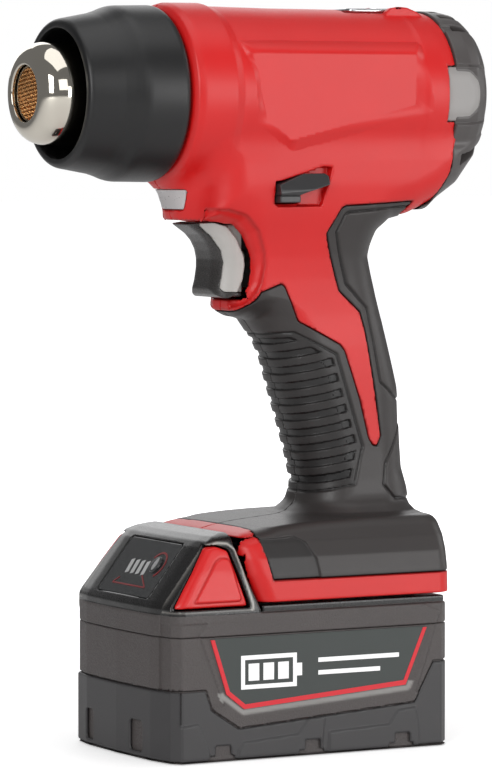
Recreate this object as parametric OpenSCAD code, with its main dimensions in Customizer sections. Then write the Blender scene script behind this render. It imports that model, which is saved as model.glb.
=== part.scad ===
// Cordless heat gun with a sliding battery pack.
// Frame: +Z up, origin at the middle of the pack's resting face, nozzle towards -X,
// the tool's left-hand side towards -Y. Millimetres.
// "Front" is towards -X and "back" towards +X throughout.

/* [Barrel] */
// Height of the barrel axis above the resting face
axis_z = 239.2; // [238:0.1:241]
// Radius of the barrel's front ring
ring_r = 33; // [32.6:0.1:33.4]
// Radius of the barrel behind the front ring
barrel_r = 31.2; // [30.8:0.1:31.5]
// Wall thickness of the tool's moulded casing
wall = 2.4; // [2:0.1:2.6]
// Outer radius of the nozzle guard at its root
guard_r = 32; // [31.5:0.1:32.3]

/* [Nozzle and heater] */
// Outer radius of the steel nozzle's seat for accessory nozzles
nozzle_r = 18.5; // [18:0.1:18.8]
// Length of the straight seat
nozzle_seat = 12; // [8:0.5:14]
// Radius of the hot-air outlet
outlet_r = 10.2; // [9.5:0.1:10.6]
// Turns of the heating wire
coil_turns = 14; // [8:1:16]
// Wire radius of the heating coil
coil_wire_r = 0.6; // [0.4:0.05:0.7]

/* [Fan and motor] */
// Tip radius of the impeller
fan_r = 24; // [20:0.5:24.5]
// Number of impeller blades
fan_blades = 9; // [5:1:11]
// Radius of the motor can
motor_r = 14.5; // [12:0.5:15]
// Motor shaft radius
shaft_r = 1.5; // [1.2:0.05:1.6]

/* [Trigger] */
// Half width of the trigger
trigger_hw = 10.5; // [9:0.1:10.6]

/* [Battery pack] */
// Width of the pack
pack_w = 80; // [79:0.5:81]
// Height of the seam between the pack's two casings
seam_z = 45.1; // [44.8:0.1:45.6]
// Radius of one cell
cell_r = 9.15; // [8.8:0.05:9.2]
// Length of one cell
cell_l = 65; // [63:0.5:66]

/* [Hidden] */
$fn = 96;

seam_gap = 0.05;     // gap on each side of a seam between two casings
slice_h = 0.02;      // thickness of one slice of a skin
far_y = 60;          // beyond either side of the tool
hook_x = 50;         // hinge of the hanging hook
hook_z = axis_z + 30.7;
pin_r = 0.9;
plunger_r = 2.2;
plunger_z = 180;     // axis of the trigger's plunger and spring
shuttle_x = [-9.8, 11.2];
shuttle_z = [199.8, 206.6];
terminal_x = [10, 36];
terminal_hw = 20;
BLADE_YS = [-15, -5, 5, 15];

// Slices of the casing: [height, front, back, half width, corner radius]
NECK = [
  [216, -36, 64.3, 27, 14], [206, -34.5, 64.3, 26.5, 13], [200, -34.5, 59, 25.5, 12],
  [195, -34.5, 51, 24.5, 12], [192.4, -34.5, 42.5, 23.5, 11]];
GRIP = [
  [192.38, -14.5, 42.5, 23.5, 11], [187, -14.5, 38.4, 21.5, 13],
  [180, -14.5, 37.7, 19.5, 14], [172, -14.5, 40.3, 18.5, 14], [164, -16, 43, 18, 14],
  [163.6, -19, 43.1, 17.8, 14], [158, -17, 44.8, 17.6, 14], [153, -6.2, 46.2, 18, 14],
  [147, -2.2, 48.1, 18.3, 15], [136, 2, 50.8, 18.2, 15], [122, 6.2, 52.7, 17.8, 15],
  [108, 10.4, 53.5, 17.4, 15], [98, 13, 54, 18, 15], [92, 10, 56.6, 22, 15],
  [86, -1, 57, 29, 15], [84.2, -17, 56.8, 31.4, 12], [82, -26.5, 56.6, 33, 8]];
CHIN = [[206.9, -43.4, -20, 15, 12], [198, -40.8, -20, 14.5, 11.5], [192.4, -39, -20, 13.5, 11]];
FOOT = [
  [82, -26.5, 56.6, 33, 7], [79.5, -29.6, 56.9, 34.6, 6.5], [76, -30.7, 57, 36.6, 6],
  [72, -29.6, 57, 38.4, 5.5], [66, -28, 57.2, 39.6, 5], [56.4, -24, 57.2, 40, 4]];
// Slices of the rear cover's lobe, outside and inside
LOBE = [[216, 64.5, 76.5, 26.4, 5.9], [206, 64.5, 70.5, 25.8, 2.9], [200.6, 60.1, 62.6, 24.8, 1.2]];
LOBE_HOLLOW = [[217, 60, 74.2, 24.4, 4], [207.6, 60, 69.2, 23.8, 2]];

// Housing screws, driven in from the right: [x, z, y that the head's depth is taken from]
SCREWS = [
  [-27, 203.4, 22.5], [30, 201, 25.5], [-3, 161.4, 17.6], [24, 175, 18.2], [10, 146, 18.2],
  [22, 100, 17.4], [48, 93, 20.4], [-15, 74.5, 37.2], [49.5, 74.5, 37.2]];

/* Shared shapes */

// Turns children's Z axis to X, at a place.
module facing_x(place) translate(place) rotate([0, 90, 0]) children();
// A ring turned about the barrel axis from [x, r] points.
module turned(points)
  facing_x([0, 0, axis_z]) rotate_extrude() polygon([for (p = points) [p[1], p[0]]]);
// A ring of rectangular section about the barrel axis.
module axial_ring(x0, x1, inner_r, outer_r)
  turned([[x0, inner_r], [x0, outer_r], [x1, outer_r], [x1, inner_r]]);
// A round bar along X, on the barrel axis unless placed elsewhere.
module x_bar(x0, x1, r, y = 0, z = axis_z) facing_x([x0, y, z]) cylinder(h = x1 - x0, r = r);
// A round bar along Y.
module cross_bar(x, z, y0, y1, r)
  translate([x, y0, z]) rotate([-90, 0, 0]) cylinder(h = y1 - y0, r = r);
// A prism along Y from [x, z] points.
module side_prism(points, y0, y1)
  translate([0, y1, 0]) rotate([90, 0, 0]) linear_extrude(height = y1 - y0) polygon(points);
// A box from its two corners.
module block(a, b) translate(a) cube([b[0] - a[0], b[1] - a[1], b[2] - a[2]]);
// A box astride the centre plane.
module mid_block(x0, x1, z0, z1, half_w) block([x0, -half_w, z0], [x1, half_w, z1]);
// A ring of round wire about Z; the wire's section has the given number of sides.
module wire_ring(r, wire_r, sides) rotate_extrude() translate([r, 0]) circle(r = wire_r, $fn = sides);
// Children turned by an angle about the barrel axis, which becomes their X axis.
module around_axis(angle) translate([0, 0, axis_z]) rotate([angle, 0, 0]) children();
// Children drawn for +Y, moved to the given side: -1 left, 1 right.
module on_side(side) scale([1, side, 1]) children();
module both_sides() for (side = [-1, 1]) on_side(side) children();
// Half of space on one side of the centre plane.
module half_space(side)
  block([-150, side < 0 ? -far_y : seam_gap, -5], [150, side < 0 ? -seam_gap : far_y, 300]);

// A thin slice with rounded corners, drawn in by inset.
module slice(row, inset) {
  corner = row[4];
  for (end = [-1, 1], side = [-1, 1])
    translate([end < 0 ? row[1] + corner : row[2] - corner, side * (row[3] - corner), row[0]])
      cylinder(h = slice_h, r = corner - inset, $fn = 16);
}
// A skin through a list of slices.
module skin(slices, inset)
  for (i = [0 : len(slices) - 2]) hull() {
    slice(slices[i], inset);
    slice(slices[i + 1], inset);
  }

/* Casing form */

// The barrel without its rear cover, its profile drawn in by inset.
module barrel_solid(inset)
  turned([
    [-46.9 + inset, 0], [-46.9 + inset, 28 - inset], [-46.2 + inset, 30.6 - inset],
    [-44.9 + inset, 32.3 - inset], [-42.6, ring_r - inset], [-29, ring_r - inset],
    [-26, ring_r - 0.5 - inset], [-23, 31.7 - inset], [0, barrel_r - inset],
    [50, 31 - inset], [64.4, 30.2 - inset], [64.4, 0]], $fn = 56);
// The whole casing form, drawn in by inset.
module casing_solid(inset) {
  barrel_solid(inset);
  for (slices = [NECK, GRIP, CHIN, FOOT]) skin(slices, inset);
}
// The layer of the casing form between two insets.
module casing_layer(outer, inner) difference() {
  casing_solid(outer);
  casing_solid(inner);
}
// Where the soft cover lies, right across the tool, with its edges drawn in by gap.
module cover_zone(gap)
  side_prism([
    // up over the front of the grip
    [-40, 160 - gap], [-17.3, 160 - gap], [-13, 164 - gap], [-11.5, 167 - gap],
    [-4.5, 170 - gap], [-1.9, 169 - gap],
    // down and up again round a narrow wedge left bare
    [4.5, 156.2 - gap], [21.3 - gap, 147.5 - gap], [23.4 - gap, 145], [30 - gap, 127],
    [34.1 - gap, 112.3], [37.4, 109 - gap], [40.5 + gap, 112.3], [36.8 + gap, 126.8],
    [31.9 + gap, 152.4 - gap], [29.9 + gap, 159 - gap], [20.7 + gap, 167.1],
    [13.3 + gap, 188.3 - gap], [18 + gap, 197.6 - gap],
    // back along the top, then forward over the foot
    [49 + gap, 200 - gap], [62, 199 - gap], [90, 199 - gap], [90, 90],
    [60, 80.4 + gap], [60, 78.6 + gap], [-20.5 + gap, 78.6 + gap], [-26 + gap, 90],
    [-40, 90]], -far_y, far_y);

module screw_bar(screw, y0, y1, r) cross_bar(screw[0], screw[1], y0, y1, r);
// Seats of the screw heads, open to the right.
module screw_seats(r) for (screw = SCREWS) screw_bar(screw, screw[2] - 6, far_y, r, $fn = 16);
module trigger_opening(gap) {
  mid_block(-30, -6, 164.4 - gap, 192.3 + gap, 11.1 + gap);
  mid_block(-60, -14.6, 165 - gap, 192.3 + gap, 16);
}
// Block that bounds the lens, or its seat when grown by gap.
module lens_bound(gap) mid_block(-60, -38.5 + gap, 197.3 - gap, 204.5 + gap, 9.9 + gap);
module pin_hole(y0, y1) cross_bar(hook_x, hook_z, y0, y1, pin_r + 0.05);

/* Housing */

// Interior, less what is left standing in it
module casing_cavity() difference() {
  casing_solid(wall);
  // screw bosses
  for (screw = SCREWS) screw_bar(screw, -40, 40, 4.4, $fn = 18);
  // ribs below and above the lens
  mid_block(-50, -16, 192.4, 194.6, 12);
  mid_block(-46, -38, 205.2, 207, 20);
  // floor between the grip and the rail channel
  mid_block(-40, 60, 53, 73.4, 45);
}
module cover_pocket() {
  intersection() {
    cover_zone(0);
    casing_layer(-1, 1.3);
    mid_block(-150, 150, 83.5, 300, far_y);
  }
  intersection() {
    cover_zone(0);
    mid_block(-25, 60, 78.6, 100, far_y);
    casing_layer(-1, 1.3);
  }
}
// Channel open at the front and below; the rails are the two ribs left standing
module rail_channel() {
  difference() {
    mid_block(-40, 50.5, 50, 71, 31.5);
    both_sides() block([-24, 24.4, 58], [50.6, 32, 61.6]);
  }
  mid_block(-60, -20, 50, 79, 32.6);
  both_sides() block([-27, 27, 50], [-20, 34.5, 72]);
}
// Groove in the front of the foot's side
module foot_groove(side) intersection() {
  on_side(side) side_prism([[-21.5, 78.7], [-17.5, 66.6], [1, 66.6], [-2.4, 74.5],
    [2, 77.6], [8, 78.7]], 32, far_y);
  casing_layer(-1, 1.3);
}
module casing_half(side) difference() {
  intersection() {
    casing_solid(0);
    half_space(side);
  }
  casing_cavity();
  cover_pocket();
  rail_channel();
  // seat of the terminal block
  mid_block(terminal_x[0] - 0.1, terminal_x[1] + 0.1, 70.9, 74.7, terminal_hw + 0.1);
  // way up from the foot into the grip
  mid_block(14, 40, 70, 90, 12);
  // duct through the barrel
  x_bar(-60, 80, 28.4, $fn = 56);
  trigger_opening(0);
  // shuttle opening
  mid_block(shuttle_x[0] - 0.5, shuttle_x[1] + 0.5, shuttle_z[0] - 0.5, shuttle_z[1] + 0.6, 40);
  lens_bound(0.1);
  // screw holes
  for (screw = SCREWS) screw_bar(screw, -12, screw[2] - 5, 1.65, $fn = 14);
  screw_seats(3.2);
  foot_groove(side);
  pin_hole(-20, 20, $fn = 24);
  // recess under the hook
  mid_block(29, 53, 268.4, 280, 8.8);
}
// Ear that carries one end of the hook's pin
module ear(side) on_side(side) difference() {
  side_prism([[46.4, 266], [46.4, 269.6], [48.6, 271.4], [51.4, 271.4], [53.6, 269.6],
    [53.6, 266]], 8.9, 11.4);
  pin_hole(0, 20, $fn = 24);
  x_bar(0, 80, 29);
}
module housing_left() color("crimson") union() {
  casing_half(-1);
  ear(-1);
}
module housing_right() color("crimson") union() {
  casing_half(1);
  ear(1);
}

// Soft cover moulded over the grip and the top of the foot
module cover_half(side) difference() {
  intersection() {
    casing_layer(0, 1.25);
    half_space(side);
    cover_zone(0.1);
    mid_block(-24.9, 150, 78.7, 300, far_y);
  }
  trigger_opening(0.1);
  screw_seats(3.3);
  // the neck's slices overlap the barrel here
  x_bar(-60, 80, 31.6, $fn = 56);
}
module grip_cover_left() color("dimgray") cover_half(-1);
module grip_cover_right() color("dimgray") cover_half(1);

module housing_screws() color("black") for (screw = SCREWS) {
  head_y = screw[2] - 5.95;
  difference() {
    union() {
      screw_bar(screw, -8, head_y, 1.45);
      screw_bar(screw, head_y, screw[2] - 3.8, 2.8);
    }
    // hexagon socket
    screw_bar(screw, screw[2] - 5, screw[2], 1.3, $fn = 6);
  }
}

/* Ends of the barrel */

// Slotted cup over the air intake, drawn down to a lobe that follows the casing's back
module rear_cover() color("dimgray") difference() {
  union() {
    turned([[64.5, 0], [64.5, 29.9], [70.5, 29.8], [74.5, 29], [78.5, 26.6], [81.3, 23],
      [82.8, 18.5], [83.4, 12], [83.4, 0]]);
    skin(LOBE, 0);
  }
  turned([[60, 0], [60, 27.4], [68.5, 27.4], [72.5, 27], [76.5, 24.8], [79, 21.6],
    [80.5, 17.5], [81.1, 12], [81.1, 0]]);
  skin(LOBE_HOLLOW, 0);
  // outer and inner rings of radial slots
  for (i = [0 : 13]) around_axis(i * 360 / 14) mid_block(75.1, 90, 21.5, 40, 1.7);
  for (i = [0 : 9]) around_axis(i * 36 + 18) mid_block(78.5, 90, 8, 16, 1.5);
}
// Fine screen that keeps fluff out of the fan
module intake_screen() color("black") {
  pitch = 3.9;
  axial_ring(61.5, 62.9, 25.6, 28.2);
  difference() {
    x_bar(61.8, 62.6, 25.7);
    for (i = [-6 : 6], j = [-6 : 6]) if (i * i + j * j < 34)
      translate([0, i * pitch, axis_z + j * pitch]) mid_block(60, 75, -1.6, 1.6, 1.6);
  }
}
module nozzle_guard() color("#202022")
  turned([
    // outside, front to back
    [-86, 23.6], [-86, 25.4], [-85.5, 26.3], [-84.4, 26.9], [-72.6, 29], [-69, 30],
    [-66, 31], [-63.5, 31.6], [-50, guard_r], [-48.6, guard_r - 0.3],
    [-47.5, guard_r - 1.3], [-47, guard_r - 3], [-47, 27.9], [-42.2, 27.9],
    // inside, back to front
    [-42.2, 25.4], [-49.5, 25.4], [-49.5, 22.3], [-51.5, 22.3], [-51.5, 26], [-60, 27.4],
    [-72, 25.4], [-84, 23.4]]);
// Polished steel nozzle, one turned shell
module nozzle() color("silver")
  turned([
    // outside, front to back
    [-98.9, outlet_r], [-98.9, 12.6], [-98.5, 14], [-97.4, 15.6], [-95.8, 17], [-93.6, 18],
    [-91, nozzle_r], [-91 + nozzle_seat, nozzle_r], [-76, 18.9], [-64, 19.6],
    [-49.4, 19.6], [-49.4, 24.9], [-48.2, 24.9],
    // inside, back to front
    [-48.2, 18.2], [-64, 18.2], [-76, 17.6], [-90, 17.3], [-93.4, 16.6], [-95.4, 15.4],
    [-96.4, 14], [-97, 12.4], [-97, outlet_r]]);
module outlet_screen() color("peru") {
  axial_ring(-96.9, -95.6, 8.9, outlet_r - 0.05);
  // two crossed layers of bars: [angle, front face]
  intersection() {
    x_bar(-96.6, -95.9, 9);
    union() for (i = [-4 : 4], layer = [[45, -96.6], [-45, -96.3]])
      around_axis(layer[0])
        block([layer[1], i * 2 - 0.3, -12], [layer[1] + 0.4, i * 2 + 0.3, 12]);
  }
}
// Ring that insulates the nozzle's flange from the casing
module insulating_ring() color("wheat")
  turned([[-48.1, 20.2], [-48.1, 24.9], [-41.8, 24.9], [-41.8, 28.1], [-39.6, 28.1],
    [-39.6, 20.2]]);

/* Heater */

coil_x = -82;      // first turn
coil_pitch = 5.2;
coil_r = 12.2;

module heater_tube() color("gainsboro")
  turned([[-89, 16.2], [-89, 16.9], [-1, 16.9], [-1, 24], [0, 24], [0, 16.2]]);
module heater_liner() color("burlywood") axial_ring(-88, -2, 15.2, 16.1);
// Six-armed ceramic former for the heating wire
module heater_core() color("floralwhite") {
  x_bar(-88, -6, 2.4);
  for (i = [0 : 2]) around_axis(i * 60) mid_block(-86, -8, -11, 11, 0.9);
}
// Heating wire: rings joined in series by short bridges
module heating_coil() color("slategray") {
  for (i = [0 : coil_turns - 1])
    facing_x([coil_x + i * coil_pitch, 0, axis_z]) wire_ring(coil_r, coil_wire_r, 24);
  for (i = [0 : coil_turns - 2])
    around_axis(i % 2 == 0 ? 30 : 210)
      x_bar(coil_x + i * coil_pitch, coil_x + (i + 1) * coil_pitch, coil_wire_r * 0.8,
        z = coil_r, $fn = 24);
}
// Fuse body on its wire
module thermal_fuse() color("white") {
  x_bar(-5, 4, 2.2, y = 6.5);
  x_bar(-8, 7, 0.5, y = 6.5);
}

/* Fan and motor */

// Shroud that holds the motor and straightens the air
module fan_shroud() color("black") {
  turned([[0.2, 24.2], [0.2, 28.1], [60, 28.1], [60, 25.2], [42, 25.2], [26, 25.2],
    [6, 22], [2, 17.4], [0.2, 17.4]]);
  // motor collar and its vanes
  axial_ring(12, 36, motor_r + 0.1, motor_r + 2);
  for (i = [0 : 7]) around_axis(i * 45) mid_block(27, 35, motor_r + 1.5, 26.2, 0.7);
}
module motor_can() color("silver")
  turned([[10, 4.1], [10, motor_r], [38, motor_r], [38, 4.1], [36.6, 4.1],
    [36.6, motor_r - 1.2], [11.4, motor_r - 1.2], [11.4, 4.1]]);
module bearings() color("goldenrod")
  for (x = [9, 35.6]) axial_ring(x, x + 3.4, shaft_r + 0.05, 4.05);
module motor_shaft() color("lightgray") x_bar(7, 58, shaft_r);
module armature() color("darkorange") {
  // hub with five T-shaped poles
  facing_x([16, 0, axis_z]) linear_extrude(height = 16) difference() {
    union() {
      circle(r = 4.6, $fn = 48);
      for (i = [0 : 4]) rotate(i * 72) {
        translate([3, -1.6]) square([8, 3.2]);
        translate([9.9, -5.1]) square([1.7, 10.2]);
      }
    }
    circle(r = shaft_r, $fn = 48);
  }
  // commutator
  facing_x([32.6, 0, axis_z]) linear_extrude(height = 2.6) difference() {
    circle(r = 3.6, $fn = 48);
    circle(r = shaft_r, $fn = 48);
  }
}
module impeller() color("darkslategray") difference() {
  union() {
    // disc and hub
    turned([[44, 0], [44, fan_r], [45.4, fan_r], [46.5, 14], [49, 8.5], [57, 6.5], [57.5, 0]]);
    for (i = [0 : fan_blades - 1]) around_axis(i * 360 / fan_blades + 7) intersection() {
      translate([44.4, 9, 7.5]) rotate([-24, 0, 0]) block([0, -7.7, -4], [12, -6.4, 20]);
      x_bar(0, 60, fan_r - 0.6, z = 0);
    }
  }
  x_bar(40, 60, shaft_r);
}

/* Hanging hook */

// Bail that folds flat on top of the barrel
module hanging_hook() color("gray") difference() {
  half_h = 0.7;
  union() {
    both_sides() {
      block([32, 6.6, hook_z - half_h], [hook_x, 8.4, hook_z + half_h]);
      cross_bar(hook_x, hook_z, 6.6, 8.4, 1.4);
    }
    mid_block(30.4, 32.4, hook_z - half_h, hook_z + half_h, 8.4);
  }
  pin_hole(-12, 12);
}
module hook_pin() color("silver") cross_bar(hook_x, hook_z, -11.3, 11.3, pin_r);

/* Light, trigger and electronics */

// Clear lens under the guard, wrapping round the chin
module led_lens() color("gainsboro") difference() {
  intersection() {
    skin(CHIN, 0);
    lens_bound(0);
  }
  skin(CHIN, 2.2);
}
module led_board() color("green") {
  mid_block(-37.4, -36.2, 197.6, 204.2, 8);
  for (side = [-1, 1]) x_bar(-38.6, -37.3, 1.7, y = side * 3.6, z = 200.9);
}

// Side view of the trigger, finger face first, from the top down: [x, z]
TRIGGER_OUTLINE = [
  [-36, 191.6], [-33.3, 189.9], [-30.6, 188.2], [-28.1, 185.4], [-26.5, 182.2],
  [-25.8, 179], [-25.8, 176], [-26.5, 171.6], [-27.3, 168.6], [-27.1, 166.6],
  [-25.5, 165.4], [-22.1, 165], [-15.6, 165], [-15.6, 191.9], [-35.1, 191.9]];
module trigger() color("silver") difference() {
  side_prism(TRIGGER_OUTLINE, -trigger_hw, trigger_hw);
  // hollow behind the finger face
  mid_block(-24, -10, 167.2, 189.8, trigger_hw - 2);
}
// Five separate rings stand for the spring
module trigger_spring() color("silver")
  for (i = [0 : 4]) facing_x([-22.8 + i * 2.5, 0, plunger_z]) wire_ring(3.9, 0.4, 20);
module switch_plunger() color("white") x_bar(-24, -6.5, plunger_r, z = plunger_z);
module trigger_switch() color("#303030") difference() {
  union() {
    mid_block(-10, 12, 168.4, 190.8, 8);
    mid_block(12, 15, 171, 188, 6);
  }
  x_bar(-11, 2, plunger_r + 0.05, z = plunger_z);
}
// Shuttle that passes through the casing above the trigger and locks it
module lock_shuttle() color("#28282a") {
  mid_block(shuttle_x[0], shuttle_x[1], shuttle_z[0], shuttle_z[1], 21);
  // tapered ends
  both_sides() hull() {
    block([shuttle_x[0] + 0.4, 20, shuttle_z[0] + 0.4],
      [shuttle_x[1] - 0.4, 21.5, shuttle_z[1] - 0.4]);
    block([shuttle_x[0] + 1.6, 28, shuttle_z[0] + 1.6],
      [shuttle_x[1] - 1.6, 29.4, shuttle_z[1] - 1.6]);
  }
}
// Circuit board in the grip with its parts on the right face
module control_board() color("darkgreen") {
  face_y = 7.6;
  block([16.4, 6, 105.4], [43, face_y, 145]);
  block([21, face_y, 108], [32, 12, 122]);
  block([35, face_y, 110], [42, 11.6, 118]);
  block([20, face_y, 128], [28, 11, 140]);
  cross_bar(37, 132, face_y, 12.2, 4);
}
// Two insulated leads that rise from the terminal block, then lean forward to the switch
module supply_leads() color("darkred") {
  lead_x = 31;
  bend_z = 144.8;
  for (y = [-7, -2]) {
    translate([lead_x, y, 74.8]) cylinder(h = 70, r = 1.3);
    translate([lead_x, y, bend_z]) sphere(r = 1.6);
    translate([lead_x, y, bend_z]) rotate([0, -31, 0]) cylinder(h = 26, r = 1.2);
  }
}
module terminal_block() color("black") {
  mid_block(terminal_x[0], terminal_x[1], 71.2, 74.6, terminal_hw);
  for (y = BLADE_YS) block([14, y - 2.4, 70.2], [34, y + 2.4, 71.2]);
}
module terminal_blades() color("gold")
  for (y = BLADE_YS) block([16, y - 0.4, 59], [33, y + 0.4, 70.2]);

/* Battery pack */

pack_hw = pack_w / 2;
pack_wall = 2.4;
bumper_z = [4.05, 25.35];
board_top = 45.8;
gauge_button_r = 3.45;
cell_pitch_x = 19.6;
cell_pitch_z = 19.2;

// Outline of the pack from above: [x, y]
PLAN = [
  [-56.4, -pack_hw], [-59.4, -pack_hw + 4], [-61.4, -25], [-62.2, 0], [-61.4, 25],
  [-59.4, pack_hw - 4], [-56.4, pack_hw], [52.4, pack_hw], [56.6, pack_hw - 4],
  [56.6, -pack_hw + 4], [52.4, -pack_hw]];
// Side views of a label and of the front cap: [x, z]
LABEL = [[-44.8, 43.8], [-38.2, 24.3], [-30.8, 17.5], [37.5, 22.5], [47, 44.4]];
CAP = [
  [-61.4, 52.5], [-62, 55.4], [-60.8, 57.4], [-46, 76.2], [-43.6, 78.2], [-40, 79.4],
  [-34.5, 80.2], [-33, 79.6], [-31.6, 76.6], [-28.6, 66], [-24.6, 56.4], [-24, 52.5]];

// The pack's outline between two heights, drawn in by inset.
module pack_prism(z0, z1, inset)
  translate([0, 0, z0]) linear_extrude(height = z1 - z0)
    polygon([for (p = PLAN) [p[0] - (p[0] < 0 ? -1 : 1) * inset, p[1] - sign(p[1]) * inset]]);
module at_pack_screws() for (x = [-50, 46], y = [-30, 30]) translate([x, y, 0]) children();
module label_seats() both_sides() side_prism(LABEL, pack_hw - 0.8, pack_hw + 5);
// Bounds of the cap: its corners follow the plan of the pack as it leans back
module cap_bound() intersection() {
  hull() {
    mid_block(-80, 0, 50, 56, 39.6);
    mid_block(-80, 0, 76, 77, 35);
    mid_block(-80, 0, 81, 82, 29);
  }
  hull() {
    translate([-0.5, 0, 0]) pack_prism(50, 56, 0);
    translate([15.5, 0, 0]) pack_prism(76, 76.2, 0);
    translate([26, 0, 0]) pack_prism(81, 81.2, 0);
  }
}
// Side view of a release button, drawn in by inset.
module button_form(inset, y0, y1)
  side_prism([
    [-56.6 + inset, 56 + inset], [-52.2 + inset, 64 + inset * 0.3],
    [-46.4 + inset * 0.6, 73.6 - inset], [-43, 76.4 - inset], [-38, 76.4 - inset],
    [-34.6 - inset * 0.5, 74.8 - inset], [-29.4 - inset, 56 + inset]], y0, y1);

// Children on the cap's front slope: u runs up it and w out of it.
module on_gauge(u, y, w)
  translate([-53.4, 0, 66.8]) rotate([0, -51.8, 0]) translate([u, y, w]) children();
module gauge_block(u0, u1, half_w, w0, w1)
  on_gauge(u0, -half_w, w0) cube([u1 - u0, 2 * half_w, w1 - w0]);
// The row of four lights, each grown by gap.
module light_row(gap, w0, w1)
  for (i = [0 : 3]) translate([0, 8 - i * 4, 0])
    gauge_block(-1.95 - gap, 3.95 + gap, 1.15 + gap, w0, w1);
// The gauge's push button, or a hole for it.
module gauge_bar(w, h, r) on_gauge(3, -10.5, w) cylinder(h = h, r = r);

module pack_lower_case() color("#3a3a3c") difference() {
  pack_prism(0, seam_z - seam_gap, 0);
  translate([0, 0, pack_wall]) pack_prism(0, seam_z, pack_wall);
  // pocket for the bumper
  difference() {
    pack_prism(bumper_z[0] - 0.05, bumper_z[1] + 0.05, -5);
    pack_prism(3, 26, 1.2);
  }
  label_seats();
  // screw holes and head seats
  at_pack_screws() {
    translate([0, 0, -1]) cylinder(h = 9, r = 1.6);
    translate([0, 0, -1]) cylinder(h = 2.4, r = 3);
  }
}
// Smooth bumper round the lower half of the pack
module pack_bumper() color("#2c2c2e") difference() {
  pack_prism(bumper_z[0], bumper_z[1], 0);
  pack_prism(3, 26, 1.15);
  label_seats();
}
module pack_upper_case() color("#343436") difference() {
  union() {
    pack_prism(seam_z + seam_gap, 52.6, 0);
    // tower with a groove along each side, under its two rails
    mid_block(-26, 48, 52, 57.4, 27.6);
    mid_block(-26, 48, 52, 70, 23.8);
    mid_block(-26, 48, 62.2, 70, 27.6);
    // front cap, drawn in towards the top
    intersection() {
      side_prism(CAP, -39.8, 39.8);
      cap_bound();
    }
  }
  // interior of the body, the tower and the cap
  translate([0, 0, -pack_wall]) pack_prism(seam_z - 3, 52.4, pack_wall);
  mid_block(-24, 45, 49, 67.6, 21.4);
  intersection() {
    translate([1.5, 0, -2.2]) side_prism(CAP, -28, 28);
    mid_block(-80, -30, 40, 90, 28);
  }
  // slots that the tool's blades enter from behind
  for (y = BLADE_YS) block([10, y - 1.4, 56], [60, y + 1.4, 80]);
  // openings for the release buttons
  both_sides() button_form(-0.2, 24, 50);
  // seat of the gauge panel
  gauge_block(-11, 11, 19.6, -1.2, 20);
  gauge_bar(-6, 20, gauge_button_r + 0.15);
}
// Label a little smaller than its seat
module pack_label(side) on_side(side)
  side_prism([for (p = LABEL) [p[0] * 0.995, (p[1] - 31) * 0.995 + 31]],
    pack_hw - 0.75, pack_hw - 0.05);
module pack_label_left() color("#48484a") pack_label(-1);
module pack_label_right() color("#48484a") pack_label(1);
module gauge_panel() color("#202022") difference() {
  gauge_block(-10.9, 10.9, 19.5, -1.15, -0.3);
  gauge_bar(-6, 20, gauge_button_r + 0.1);
  light_row(0.05, -4, 4);
}
module gauge_lights() color("lightgray") light_row(0, -1.14, -0.2);
module gauge_button() color("gray") gauge_bar(-3.4, 3.6, gauge_button_r);
module release_button(side) on_side(side) {
  intersection() {
    button_form(0.2, 30.2, 39.4);
    hull() {
      block([-70, 20, 50], [0, 38.8, 58]);
      block([-70, 20, 76], [0, 34.4, 79]);
    }
    translate([0.4, 0, 0]) cap_bound();
  }
  // boss on the inner face
  block([-46, 28.6, 60], [-38, 30.3, 68]);
}
module release_button_left() color("red") release_button(-1);
module release_button_right() color("red") release_button(1);
// Four separate rings stand for each spring
module latch_springs() color("silver")
  for (side = [-1, 1], i = [0 : 3])
    translate([-42, side * (19.2 + i * 2.6), 64]) rotate([90, 0, 0]) wire_ring(3, 0.4, 20);

// Bars along Y at the cells' places, five across and two high.
module cell_bars(y0, y1, r)
  for (i = [0 : 4], j = [0, 1])
    cross_bar(-42 + i * cell_pitch_x, 13.2 + j * cell_pitch_z, y0, y1, r);
module cells() color("royalblue") cell_bars(-cell_l / 2, cell_l / 2, cell_r);
module cell_frame() color("whitesmoke") both_sides() difference() {
  block([-52.4, 22, 2.9], [46.6, 33.6, 43]);
  cell_bars(10, 32.6, cell_r + 0.1);
  cell_bars(10, 40, 6.5);
}
module cell_tabs() color("silver") both_sides()
  for (j = [0, 1])
    block([-46, 33.7, 10 + j * cell_pitch_z], [40.4, 34, 16.6 + j * cell_pitch_z]);
module pack_board() color("darkgreen") {
  mid_block(-46, 44, 44.2, board_top, 26);
  block([-20, -12, board_top], [-8, 6, 48]);
}
// Two leaves astride each blade
module pack_terminals() color("gold")
  for (y = BLADE_YS, side = [-1, 1])
    block([14, y + side * 1.1 - 0.25, board_top], [30, y + side * 1.1 + 0.25, 62]);
module pack_screws() color("silver") at_pack_screws() difference() {
  union() {
    translate([0, 0, 0.2]) cylinder(h = 1.1, r = 2.8);
    translate([0, 0, 1.2]) cylinder(h = 1.6, r = 1.5);
  }
  translate([0, 0, -0.2]) cylinder(h = 1.1, r = 1.3, $fn = 6);
}

housing_left();
housing_right();
grip_cover_left();
grip_cover_right();
rear_cover();
intake_screen();
nozzle_guard();
nozzle();
outlet_screen();
insulating_ring();
heater_tube();
heater_liner();
heater_core();
heating_coil();
thermal_fuse();
fan_shroud();
impeller();
motor_can();
motor_shaft();
armature();
bearings();
hanging_hook();
hook_pin();
led_lens();
led_board();
trigger();
trigger_spring();
switch_plunger();
trigger_switch();
lock_shuttle();
control_board();
supply_leads();
terminal_block();
terminal_blades();
housing_screws();
pack_lower_case();
pack_upper_case();
pack_bumper();
pack_label_left();
pack_label_right();
gauge_panel();
gauge_lights();
gauge_button();
release_button_left();
release_button_right();
latch_springs();
cells();
cell_frame();
cell_tabs();
pack_board();
pack_terminals();
pack_screws();
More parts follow.
